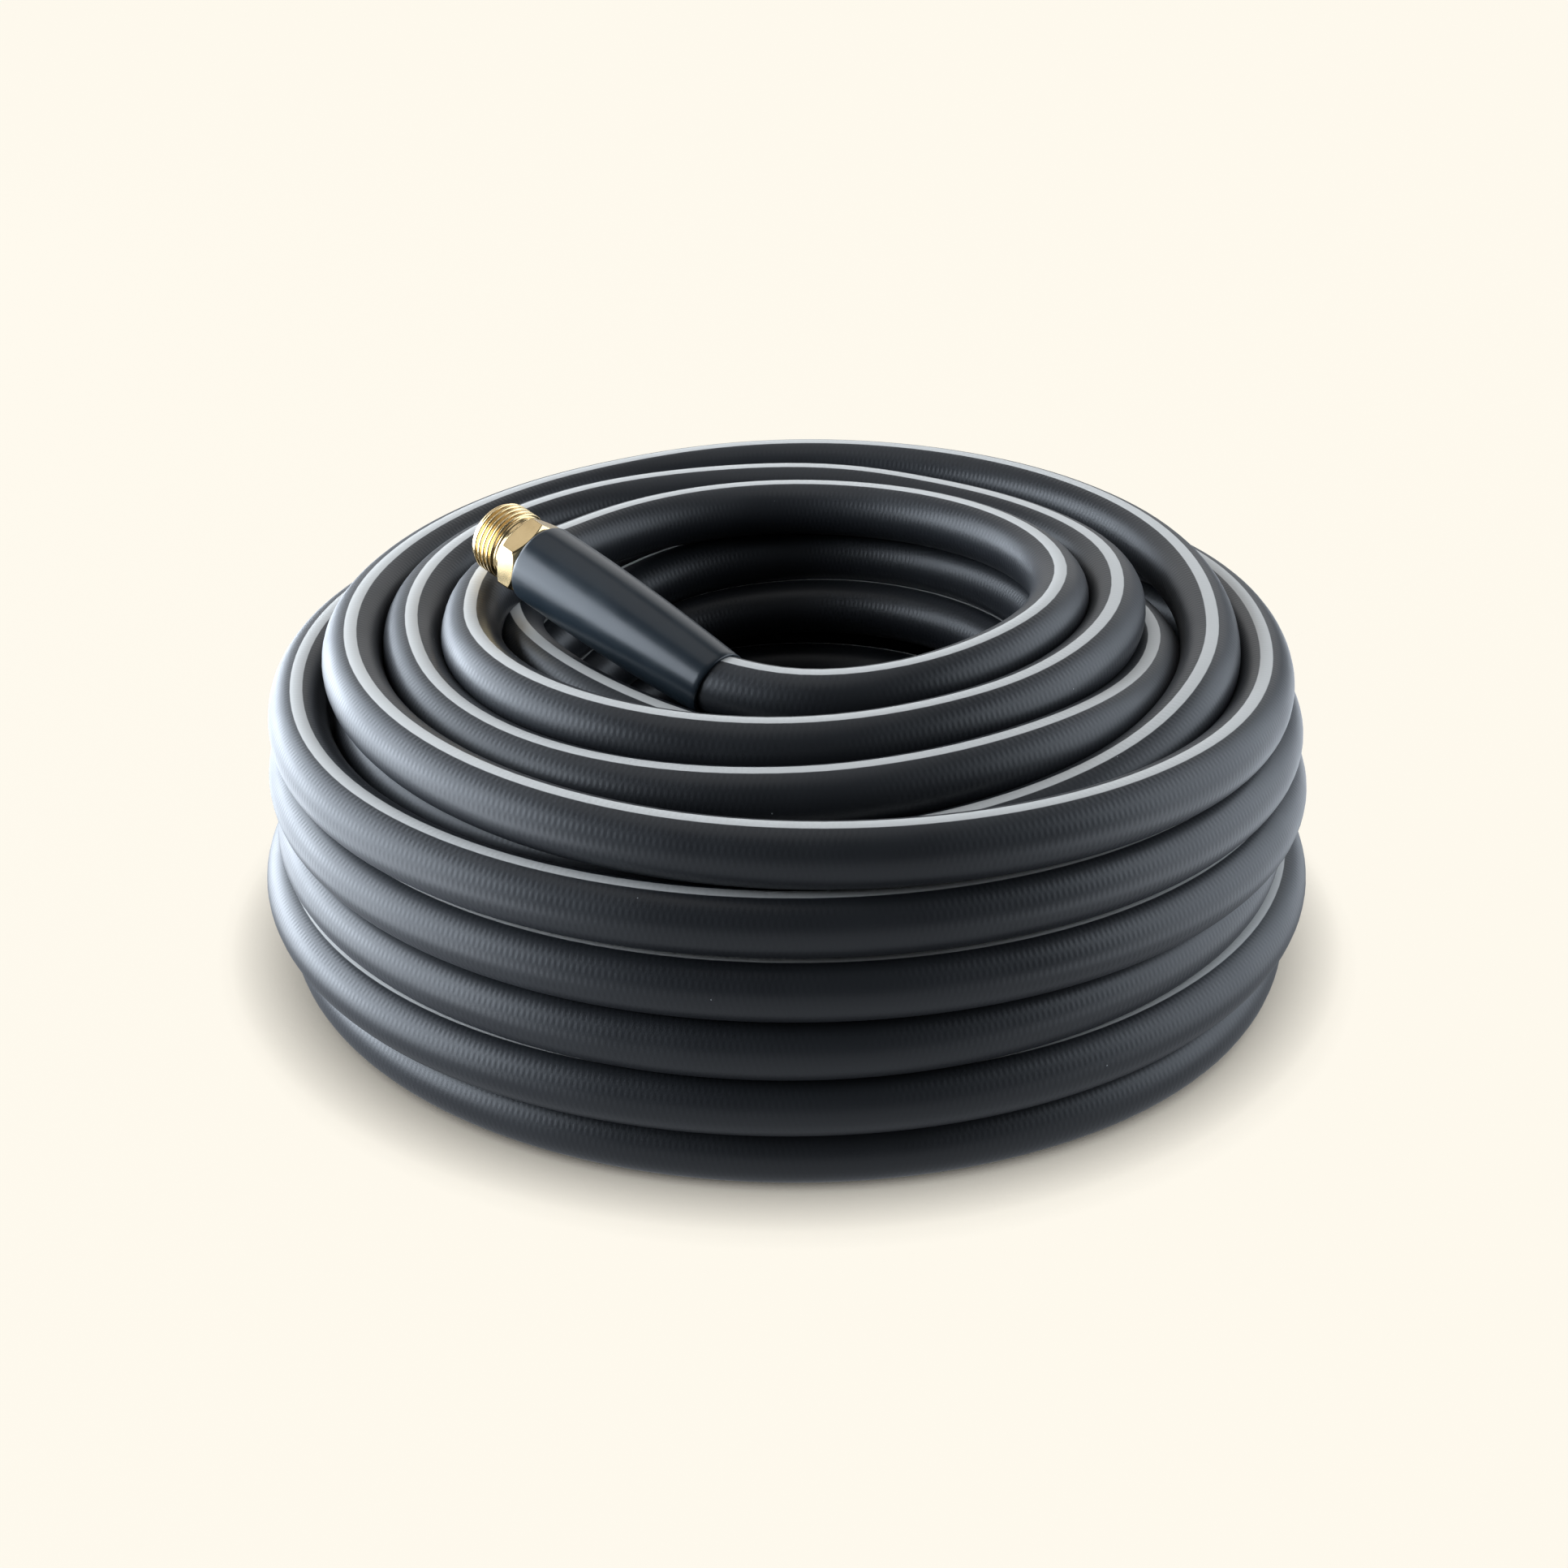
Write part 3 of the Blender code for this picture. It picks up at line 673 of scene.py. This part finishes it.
@dataclass
class Winding:
    """The route of the hose through its coil, settled so that its turns touch and don't cross."""

    stretches: tuple[Stretch, ...] = (MOUTH_TURN, SECOND_TURN, THIRD_TURN, SUNKEN_TURN, INSIDE,
                                      TOP_OUTER_TURN, OUTER_WALL)
    first_angle: float = -84.0
    steps_per_turn: int = 120
    roundings: int = 6
    rounds: int = 400
    touching: float = 21.8
    floor_level: float = 11.0
    push: float = 0.5
    stiffness: float = 0.2
    pull: float = 0.3
    kept_ends: Span = (10.0, 20.0)
    in_male_sleeve: tuple[float, ...] = (SLEEVE_LENGTH - TOUCHING_GAP, 0.075, 0.055, 0.035, 0.020,
                                         0.008, 0.0, -0.006, -0.015)
    in_female_sleeve: tuple[float, ...] = (0.0, 0.014, 0.05, SLEEVE_LENGTH - TOUCHING_GAP)
    lead_bend: Point = (0.0034, 0.0000, 0.0016)
    eased: int = 14
    eased_from: Span = (-0.002, 0.012)
    eased_to: Span = (0.090, 0.150)

    def route(self, count: int) -> Array:
        """Give the whole centreline, from inside the male end's sleeve to inside the female end's.

        Args:
            count: how many points to give.

        Returns:
            The points in the part's frame, in metres.
        """
        angles, section = self.settle()
        turned = np.radians(angles)
        coil = turned_grid(section[:, 0], section[:, 1], turned) * MILLIMETRE + COIL_CENTRE
        lead = MALE_START + np.array(self.in_male_sleeve)[:, None] * MALE_OUT
        lead[-1] += self.lead_bend
        tail = np.array(TAIL) * MILLIMETRE + COIL_CENTRE
        end = FEMALE_START + np.array(self.in_female_sleeve)[:, None] * FEMALE_OUT
        points = np.vstack([lead, coil[angles >= self.first_angle], tail, end])
        return self.ease(smooth_curve(points, count))

    def ease(self, line: Array) -> Array:
        """Widen the bend where the hose leaves the male end's sleeve.

        Each point moves towards the middle between its neighbours.

        Args:
            line: the centreline.

        Returns:
            The centreline with its first bend eased.
        """
        line = line.copy()
        share = window(distances(line) - SLEEVE_LENGTH, self.eased_from, self.eased_to)
        for _ in range(self.eased):
            line[1:-1] += SMOOTHING * share[1:-1, None] * bends(line)
        return line

    def settle(self) -> tuple[Array, Array]:
        """Relax the radius and height of every turn against its neighbours at the same angle.

        Two turns nearer than the touching distance push each other apart along the line between them,
        each point moves towards the middle between its neighbours on the hose, and each is drawn back
        to its own station.

        Returns:
            The angles in degrees, and the radius and height at each in millimetres.
        """
        stations = np.array([station for stretch in self.stretches for station in stretch.stations])
        holds = [stretch.hold for stretch in self.stretches for _ in stretch.stations]
        step = TURN / self.steps_per_turn
        marks, radii, heights = stations.T
        angles = np.arange(np.ceil(marks[0] / step), np.floor(marks[-1] / step) + 1) * step
        section = np.stack([np.interp(angles, marks, side) for side in (radii, heights)], axis=1)
        for _ in range(self.roundings):
            section[1:-1] += SMOOTHING * bends(section)
        target = section.copy()
        hold = np.interp(angles, marks, holds)[:, None]
        kept_start, kept_end = self.kept_ends
        free = ((angles > angles[0] + kept_start) & (angles < angles[-1] - kept_end))[:, None]
        give = np.where(hold[:, 0] < TIGHT / 2, 1.0, 0.5)
        first = int(round(angles[0] / step)) % self.steps_per_turn
        for _ in range(self.rounds):
            section = section + self.push * free * self.apart(section, give, first)
            bend = np.zeros_like(section)
            bend[1:-1] = bends(section)
            back = self.pull * hold * (target - section)
            section = section + self.stiffness * free * bend + back
            section[:, 1] = np.maximum(section[:, 1], self.floor_level)
        return angles, section

    def apart(self, section: Array, give: Array, first: int) -> Array:
        """Work out how far each point is pushed by the turns that it cuts into.

        Args:
            section: the radius and height of each point.
            give: how readily each point moves.
            first: the first point's place in its turn.

        Returns:
            The push on each point.
        """
        count = len(section)
        turns = -(-(first + count) // self.steps_per_turn)
        size = turns * self.steps_per_turn
        far_off = 1e6 + 1e3 * np.arange(size)
        places = np.repeat(far_off[:, None], 2, axis=1)
        places[first:first + count] = section
        weight = np.zeros(size)
        weight[first:first + count] = give
        places = places.reshape(turns, self.steps_per_turn, 2)
        weight = weight.reshape(turns, self.steps_per_turn)
        between = places[:, None] - places[None]
        distance = np.sqrt((between ** 2).sum(-1))
        over = np.where((distance < self.touching) & (distance > 0), self.touching - distance, 0.0)
        share = weight[:, None] / np.maximum(weight[:, None] + weight[None], 1e-9)
        push = (between / np.maximum(distance, 1e-6)[..., None] * (over * share)[..., None]).sum(1)
        return push.reshape(size, 2)[first:first + count]


@dataclass
class Hose:
    """The hose as one tube along its route."""

    winding: Winding = field(default_factory=Winding)
    rings: int = 2900
    sides: int = 32
    diameter: float = HOSE_DIAMETER
    inner_roll: float = math.radians(21.0)
    rolled: Span = (2.45, 14.40)
    roll_fade: float = 0.30
    line: Array | None = None

    def build(self, finish: Material) -> Piece:
        """Carry a circle along the route: p + r (cos a * side + sin a * up).

        Up is as near +Z as the hose allows. The angle a lags by the inner roll on the buried turns,
        whose stripe lies a little outwards of their top.

        Args:
            finish: the hose's material.

        Returns:
            The hose's object.
        """
        line = self.winding.route(self.rings)
        self.line = line
        forward = unit(np.gradient(line, axis=0))
        side = unit(np.cross(forward, np.array([0.0, 0.0, 1.0])))
        upward = np.cross(side, forward)
        along = distances(line)
        first, last = self.rolled
        roll = self.inner_roll * window(along, (first, first + self.roll_fade),
                                        (last - self.roll_fade, last))
        round_hose = np.arange(self.sides) / self.sides * math.tau - math.pi / 2
        angles = (round_hose - roll[:, None])[..., None]
        ring = np.cos(angles) * side[:, None] + np.sin(angles) * upward[:, None]
        points = (line[:, None] + self.diameter / 2 * ring).reshape(-1, 3)
        quads = grid_quads(self.rings, self.sides, rows_close=False)
        uv = grid_uv(quads, along, self.sides)
        loop = np.arange(self.sides)
        caps = [loop[::-1], (self.rings - 1) * self.sides + loop]
        return new_piece("hose", points, quads, uv, caps, finish, Slot.RUBBER, Body.HOSE,
                         "hose_coil", "hose_lead", "hose_tail")


# Fittings


@dataclass
class TurnedPiece:
    """A closed piece turned round its own axis, whose section may change on the way round."""

    columns: int = 144

    def make(self, name: str, radius: Array, height: Array, start: Array, direction: Array,
             *dress: Material | Slot | Body | str) -> Piece:
        """Make the piece from a closed section.

        Args:
            name: the piece's name.
            radius: radii, one row a section point, one column an angle, or one for all angles.
            height: the section points' heights in one column.
            start: the axis's start.
            direction: the way the axis points.
            dress: its finish, slot, body and replaced nodes, as new_piece takes them.

        Returns:
            The new object.
        """
        angles = np.arange(self.columns) / self.columns * math.tau
        radius = radius + np.zeros(self.columns)
        points = on_axis(turned_grid(radius, height, angles), start, direction).reshape(-1, 3)
        quads = grid_quads(len(radius), self.columns, rows_close=True)
        middle = np.stack([radius[:, 0], height[:, 0]], axis=1)
        uv = grid_uv(quads, distances(np.vstack([middle, middle[:1]])), self.columns)
        return new_piece(name, points, quads, uv, [], *dress)


@dataclass
class EndSleeve(TurnedPiece):
    """The tapered sleeve that keeps the hose from kinking at its coupling."""

    columns: int = 96
    length: float = SLEEVE_LENGTH
    bore: float = HOSE_DIAMETER / 2 + 0.0001
    big: float = 0.0150
    small: float = 0.0123
    belly: float = 0.0006
    shoulder: float = 0.0020
    lip: float = 0.0004
    rows: int = 48

    def section(self) -> Array:
        """Give the closed section: lip, swelling side, shoulder, bore.

        The side's radius is big + (small - big) * (1 - t)^1.5 + belly * sin(pi t). Its t counts from
        the small end.
        """
        share = np.linspace(0.0, 1.0, self.rows)
        top = self.length - self.shoulder
        side = (self.big + (self.small - self.big) * (1 - share) ** 1.5
                + self.belly * np.sin(math.pi * share))
        side_points = np.stack([side, self.lip + (top - self.lip) * share], axis=1)
        turn = np.linspace(0.0, math.pi / 2, 9)[1:]
        shoulder = np.stack([self.big - self.shoulder * (1 - np.cos(turn)),
                             top + self.shoulder * np.sin(turn)], axis=1)
        inner = np.array([[self.bore + 0.0006, self.length], [self.bore, self.length - 0.0006],
                          [self.bore, self.length / 2], [self.bore, 0.0003], [self.bore + 0.0002, 0.0],
                          [self.small - 0.0003, 0.0]])
        return np.vstack([side_points, shoulder, inner])

    def build(self, name: str, start: Array, direction: Array, finish: Material,
              node: str) -> Piece:
        """Make the sleeve at an axis, standing for its CAD node."""
        section = self.section()
        return self.make(name, section[:, :1], section[:, 1:], start, direction, finish, Slot.SLEEVE,
                         Body.HOSE, node)


@dataclass(frozen=True)
class CutPrism:
    """A regular prism's wall, whose corners a cone cuts back at both ends."""

    sides: int
    flats: float
    length: float
    cut: float
    slope: float
    blend: float
    rim: float
    fine: float
    fine_rows: int
    rim_slope: float = 6.0
    rim_blend: float = 0.0004
    plain_from: float = 0.0030

    def wall(self, angles: Array) -> tuple[Array, Array]:
        """Give the wall as the smallest of the polygon, the cone and a steep cone at the rim.

        The polygon's radius is half the flats over cos of the angle to its nearest flat.

        Args:
            angles: the angles round the axis.

        Returns:
            The radii, one row a height and one column an angle, and the heights in one column.
        """
        heights = np.concatenate([
            np.linspace(0.0, self.fine, self.fine_rows),
            np.linspace(self.plain_from, self.length - self.plain_from, 5),
            np.linspace(self.length - self.fine, self.length, self.fine_rows)])[:, None]
        to_end = np.minimum(heights, self.length - heights)
        sector = math.tau / self.sides
        polygon = self.flats / 2 / np.cos((angles + sector / 2) % sector - sector / 2)
        cone = self.flats / 2 / math.cos(math.pi / self.sides) - self.cut + self.slope * to_end
        steep = self.flats / 2 + self.rim + self.rim_slope * to_end
        return soft_least(soft_least(polygon, cone, self.blend), steep, self.rim_blend), heights


@dataclass(frozen=True)
class HoseThread:
    """A garden hose thread, 11.5 turns an inch."""

    major: float = 0.0135
    depth: float = 0.0012
    pitch: float = 0.0254 / 11.5

    def ridge(self, height: Array, angles: Array) -> Array:
        """Give the ridge from 0 at the root to 1 at the crest, along height / pitch - angle / tau."""
        phase = (height / self.pitch - angles / math.tau) % 1.0
        return smooth_step(1.0 - np.abs(2.0 * phase - 1.0), 0.12, 0.78)


@dataclass
class MaleCoupling(TurnedPiece):
    """The brass male coupling: hex collar, neck and external thread."""

    columns: int = 180
    collar: CutPrism = CutPrism(sides=6, flats=0.0265, length=0.0085, cut=0.0021, slope=1.5,
                                blend=0.0005, rim=0.0001, fine=0.0022, fine_rows=9)
    neck_radius: float = 0.0120
    neck_length: float = 0.0030
    neck_fillet: float = 0.0004
    fillet_reach: float = 0.0006
    crests: int = 5
    thread_rise: float = 0.0012
    thread_fall: float = 0.0016
    lead_in: float = 0.0015
    face_cut: float = 0.0007
    face_cut_reach: float = 0.0009
    bore: float = 0.0075
    thread: HoseThread = HoseThread()

    def build(self, finish: Material) -> Piece:
        """Make the coupling on the male end's axis, from its collar by its thread to its bore."""
        angles = np.arange(self.columns) / self.columns * math.tau
        collar, collar_heights = self.collar.wall(angles)
        shelf = self.collar.length
        foot = shelf + self.neck_length
        top = foot + self.crests * self.thread.pitch
        face = top + self.lead_in
        neck_heights = np.linspace(shelf, foot - 0.0006, 5)[:, None]
        fillet = smooth_step(-neck_heights, -shelf - self.fillet_reach, -shelf)
        neck = self.neck_radius + self.neck_fillet * fillet
        thread_heights = np.linspace(foot - 0.0004, face, 96)[:, None]
        root = self.thread.major - self.thread.depth
        grown = window(thread_heights, (foot, foot + self.thread_rise),
                       (top - self.thread_fall, top + 0.0004))
        thread = root + self.thread.depth * grown * self.thread.ridge(thread_heights, angles)
        thread = thread - self.face_cut * smooth_step(thread_heights, face - self.face_cut_reach, face)
        bore_rows = np.array([[self.bore + 0.0009, face], [self.bore + 0.0003, face - 0.0003],
                              [self.bore, face - 0.0010], [self.bore, face / 2], [self.bore, 0.0004],
                              [self.bore + 0.0004, 0.0]])
        full = np.zeros(self.columns)
        radius = np.vstack([collar, neck + full, thread, bore_rows[:, :1] + full])
        height = np.vstack([collar_heights, neck_heights, thread_heights, bore_rows[:, 1:]])
        return self.make("male_coupling_turned", radius, height, MALE_START + SEAT * MALE_OUT, MALE_OUT,
                         finish, Slot.BRASS, Body.HOSE, "male_coupling")


@dataclass
class FemaleStem(TurnedPiece):
    """The brass stem that the swivel nut runs on: collar, neck and flange."""

    collar_radius: float = 0.0120
    collar_length: float = 0.0050
    neck_radius: float = 0.0095
    neck_length: float = 0.0032
    flange_radius: float = 0.0124
    flange_length: float = 0.0022
    bore: float = 0.0075
    edge: float = 0.0003

    @property
    def face(self) -> float:
        """Where the flange ends."""
        return self.collar_length + self.neck_length + self.flange_length

    def build(self, finish: Material) -> Piece:
        """Make the stem on the female end's axis."""
        foot = self.collar_length + self.neck_length
        corners = np.array([[self.collar_radius, 0.0], [self.collar_radius, self.collar_length],
                            [self.neck_radius, self.collar_length], [self.neck_radius, foot],
                            [self.flange_radius, foot], [self.flange_radius, self.face],
                            [self.bore, self.face], [self.bore, 0.0]])
        section = rounded_section(corners, np.full(len(corners), self.edge))
        return self.make("female_stem_turned", section[:, :1], section[:, 1:],
                         FEMALE_START + SEAT * FEMALE_OUT, FEMALE_OUT, finish, Slot.BRASS, Body.HOSE,
                         "female_stem")


@dataclass
class SwivelNut(TurnedPiece):
    """The octagonal brass nut: a lip behind the stem's flange and a threaded socket."""

    columns: int = 192
    foot: float = 0.0053
    outside: CutPrism = CutPrism(sides=8, flats=0.0310, length=0.0190, cut=0.0013, slope=1.4,
                                 blend=0.0004, rim=-0.0003, fine=0.0018, fine_rows=8)
    lip: float = 0.0026
    lip_hole: float = 0.0099
    depth_share: float = 0.8
    clearance: float = 0.0003
    thread_rise: float = 0.0016
    thread: HoseThread = HoseThread()

    def build(self, finish: Material) -> Piece:
        """Make the nut, from its octagonal outside by its threaded socket to its lip."""
        angles = np.arange(self.columns) / self.columns * math.tau
        skin, outside = self.outside.wall(angles)
        length = self.outside.length
        depth = self.thread.depth * self.depth_share
        socket_top = length - 0.0004
        inside = np.linspace(socket_top, self.lip + 0.0042, 72)[:, None]
        clear = self.thread.major + self.clearance
        grown = smooth_step(-inside, -socket_top, -socket_top + self.thread_rise)
        socket = clear - depth * grown * self.thread.ridge(inside, angles)
        mouth = np.array([[clear + 0.0006, length], [clear + 0.0002, length - 0.0002]])
        lip, hole = self.lip, self.lip_hole
        rest = np.array([[clear, lip + 0.0040], [clear, lip + 0.0004], [clear - 0.0004, lip],
                         [hole + 0.0003, lip], [hole, lip - 0.0003], [hole, 0.0004],
                         [hole + 0.0004, 0.0]])
        full = np.zeros(self.columns)
        radius = np.vstack([skin, mouth[:, :1] + full, socket, rest[:, :1] + full])
        height = np.vstack([outside, mouth[:, 1:], inside, rest[:, 1:]])
        start = FEMALE_START + (SEAT + self.foot) * FEMALE_OUT
        return self.make("swivel_nut_turned", radius, height, start, FEMALE_OUT, finish, Slot.BRASS,
                         Body.NUT, "swivel_nut")


@dataclass
class HoseWasher(TurnedPiece):
    """The flat rubber washer in the nut."""

    columns: int = 96
    outer: float = 0.0125
    hole: float = 0.0075
    thickness: float = 0.0030
    edge: float = 0.0006

    def build(self, foot: float, finish: Material) -> Piece:
        """Make the washer, a little above the stem's face."""
        low = foot + TOUCHING_GAP
        high = low + self.thickness
        corners = np.array([[self.outer, low], [self.outer, high], [self.hole, high], [self.hole, low]])
        section = rounded_section(corners, np.full(4, self.edge), steps=7)
        return self.make("hose_washer_moulded", section[:, :1], section[:, 1:],
                         FEMALE_START + SEAT * FEMALE_OUT, FEMALE_OUT, finish, Slot.WASHER, Body.NUT,
                         "hose_washer")


# Studio


COOL = (0.80, 0.89, 1.0)
COOL_CARD = (0.82, 0.90, 1.0)


@dataclass(frozen=True)
class SoftPanel:
    """A soft panel of light that the camera doesn't see."""

    name: str
    place: Point
    width: float
    height: float
    brightness: float
    colour: Point = (1.0, 1.0, 1.0)
    aim: Point = (0.0, 0.0, 0.08)

    def build(self) -> None:
        """Hang the panel. Its power is brightness * pi * area."""
        data = bpy.data.lights.new(self.name, "AREA")
        data.shape = "RECTANGLE"
        data.size = self.width
        data.size_y = self.height
        data.energy = self.brightness * math.pi * self.width * self.height
        data.color = self.colour
        lamp = bpy.data.objects.new(self.name, data)
        lamp.location = self.place
        towards = Vector(np.array(self.aim) - np.array(self.place))
        lamp.rotation_euler = towards.to_track_quat("-Z", "Y").to_euler()
        lamp.visible_camera = False
        bpy.context.scene.collection.objects.link(lamp)


@dataclass(frozen=True)
class Studio:
    """The pale floor, the soft panels and the camera."""

    elevation: float = math.radians(27.0)
    distance: float = 1.000
    target: Point = (0.0, -0.0163885, 0.0545)
    lens: float = 59.25
    floor_half: float = 6.0
    floor_glow: Colour = (0.990, 0.946, 0.846, 1.0)
    floor_bounce: Colour = (0.45, 0.48, 0.52, 1.0)
    floor_colour: Colour = (0.004, 0.004, 0.004, 1.0)
    # How far the floor's painted contact shadow reaches from the coil.
    shadow_reach: float = 0.031
    # Between these radii from the coil's centre the floor's glow fades out inwards, so the floor in the
    # coil's mouth is painted dark as shade.
    painted_mouth_shade_radii: Span = (0.13, 0.15)
    room_colour: Colour = (0.85, 0.92, 1.0, 1.0)
    room_light: float = 0.06
    panels: tuple[SoftPanel, ...] = (
        SoftPanel("left_panel", (-1.10, 0.15, 0.46), 1.8, 0.92, 6.2, COOL),
        SoftPanel("left_back_panel", (-1.00, 0.50, 0.14), 1.2, 0.28, 8.4, COOL),
        SoftPanel("left_card", (-0.60, 0.10, 0.012), 1.0, 0.7, 4.6, COOL_CARD, (-0.59, 0.10, 0.50)),
        SoftPanel("right_panel", (1.15, 0.20, 0.55), 1.5, 1.1, 2.7, COOL),
        SoftPanel("right_card", (0.60, 0.10, 0.012), 1.0, 0.7, 1.6, COOL_CARD, (0.59, 0.10, 0.50)),
        SoftPanel("back_panel", (0.0, 1.9, 0.95), 2.6, 1.5, 1.1, (0.98, 0.99, 1.0)),
        SoftPanel("top_panel", (-0.2, 0.2, 1.6), 1.2, 1.2, 0.7, (1.0, 0.99, 0.98)),
    )

    def camera(self) -> None:
        """Place the camera at the photograph's angle."""
        data = bpy.data.cameras.new("photo_camera")
        data.lens = self.lens
        data.sensor_width = 36.0
        camera = bpy.data.objects.new("photo_camera", data)
        back = np.array([0.0, -math.cos(self.elevation), math.sin(self.elevation)])
        camera.location = np.array(self.target) + self.distance * back
        camera.rotation_euler = (math.pi / 2 - self.elevation, 0.0, 0.0)
        bpy.context.scene.collection.objects.link(camera)
        bpy.context.scene.camera = camera

    def floor(self) -> None:
        """Lay the floor, which glows so that it stays even and pale to its far edge, save for painted
        shade: a contact shadow near the coil and no glow in the coil's mouth.
        """
        mesh = bpy.data.meshes.new("studio_floor")
        reach = self.floor_half
        corners = [(-reach, -reach, 0), (reach, -reach, 0), (reach, reach, 0), (-reach, reach, 0)]
        mesh.from_pydata(corners, [], [(0, 1, 2, 3)])
        material, bench = new_finish("studio_floor_look", Base_Color=self.floor_colour, Roughness=1.0,
                                     Specular_IOR_Level=0.0)
        glow, strength = (bench.shader.inputs[name] for name in ("Emission Color", "Emission Strength"))
        seen = bench.add("LightPath").outputs["Is Camera Ray"]
        bench.tree.links.new(bench.mix(seen, self.floor_bounce, self.floor_glow), glow)
        place = bench.add("TexCoord").outputs["Object"]
        off_centre = bench.add("VectorMath", {"operation": "DISTANCE"}, in_0=place,
                               in_1=tuple(COIL_CENTRE)).outputs["Value"]
        # Painted shade: the floor's glow is off inside the coil's mouth.
        inner, outer = self.painted_mouth_shade_radii
        outside_painted_mouth_shade = bench.remap(off_centre, inner, outer, 0.0, 1.0)
        # Painted contact shadow: for the camera, ambient occlusion dims the floor's glow near the coil.
        shadow = bench.add("AmbientOcclusion", {"samples": 2}, Distance=self.shadow_reach).outputs["AO"]
        lit = bench.math("MAXIMUM", shadow, bench.math("SUBTRACT", 1.0, seen))
        bench.tree.links.new(bench.math("MULTIPLY", outside_painted_mouth_shade, lit), strength)
        mesh.materials.append(material)
        floor = bpy.data.objects.new("studio_floor", mesh)
        bpy.context.scene.collection.objects.link(floor)

    def room(self) -> None:
        """Fill the room with faint even light."""
        world = bpy.data.worlds.new("studio_room")
        world.use_nodes = True
        background = world.node_tree.nodes["Background"]
        background.inputs[0].default_value = self.room_colour
        background.inputs[1].default_value = self.room_light
        bpy.context.scene.world = world

    def build(self) -> None:
        """Set up the whole studio."""
        bpy.context.scene.view_settings.view_transform = "Standard"
        self.camera()
        self.floor()
        self.room()
        for panel in self.panels:
            panel.build()


def main() -> None:
    """Build the studio, the hose and its ends."""
    logging.basicConfig(level=logging.INFO, format="%(message)s")
    Studio().build()
    LOG.info("studio set")
    shared = SharedEffects.build()
    brass = BrassFinish().build(shared)
    sleeve = SLEEVE_FINISH.build(shared)
    hose = Hose()
    tube = hose.build(HoseRubberFinish().build(shared))
    LOG.info("hose laid in %d rings", hose.rings)
    male_sleeve = EndSleeve().build("male_sleeve_moulded", MALE_START, MALE_OUT, sleeve, "male_sleeve")
    female_sleeve = EndSleeve().build("female_sleeve_moulded", FEMALE_START, FEMALE_OUT, sleeve,
                                      "female_sleeve")
    LOG.info("sleeves made")
    male = MaleCoupling().build(brass)
    stem = FemaleStem()
    female = stem.build(brass)
    nut = SwivelNut().build(brass)
    washer = HoseWasher().build(stem.face, WASHER_FINISH.build(shared))
    LOG.info("couplings made")


if __name__ == "__main__":
    main()
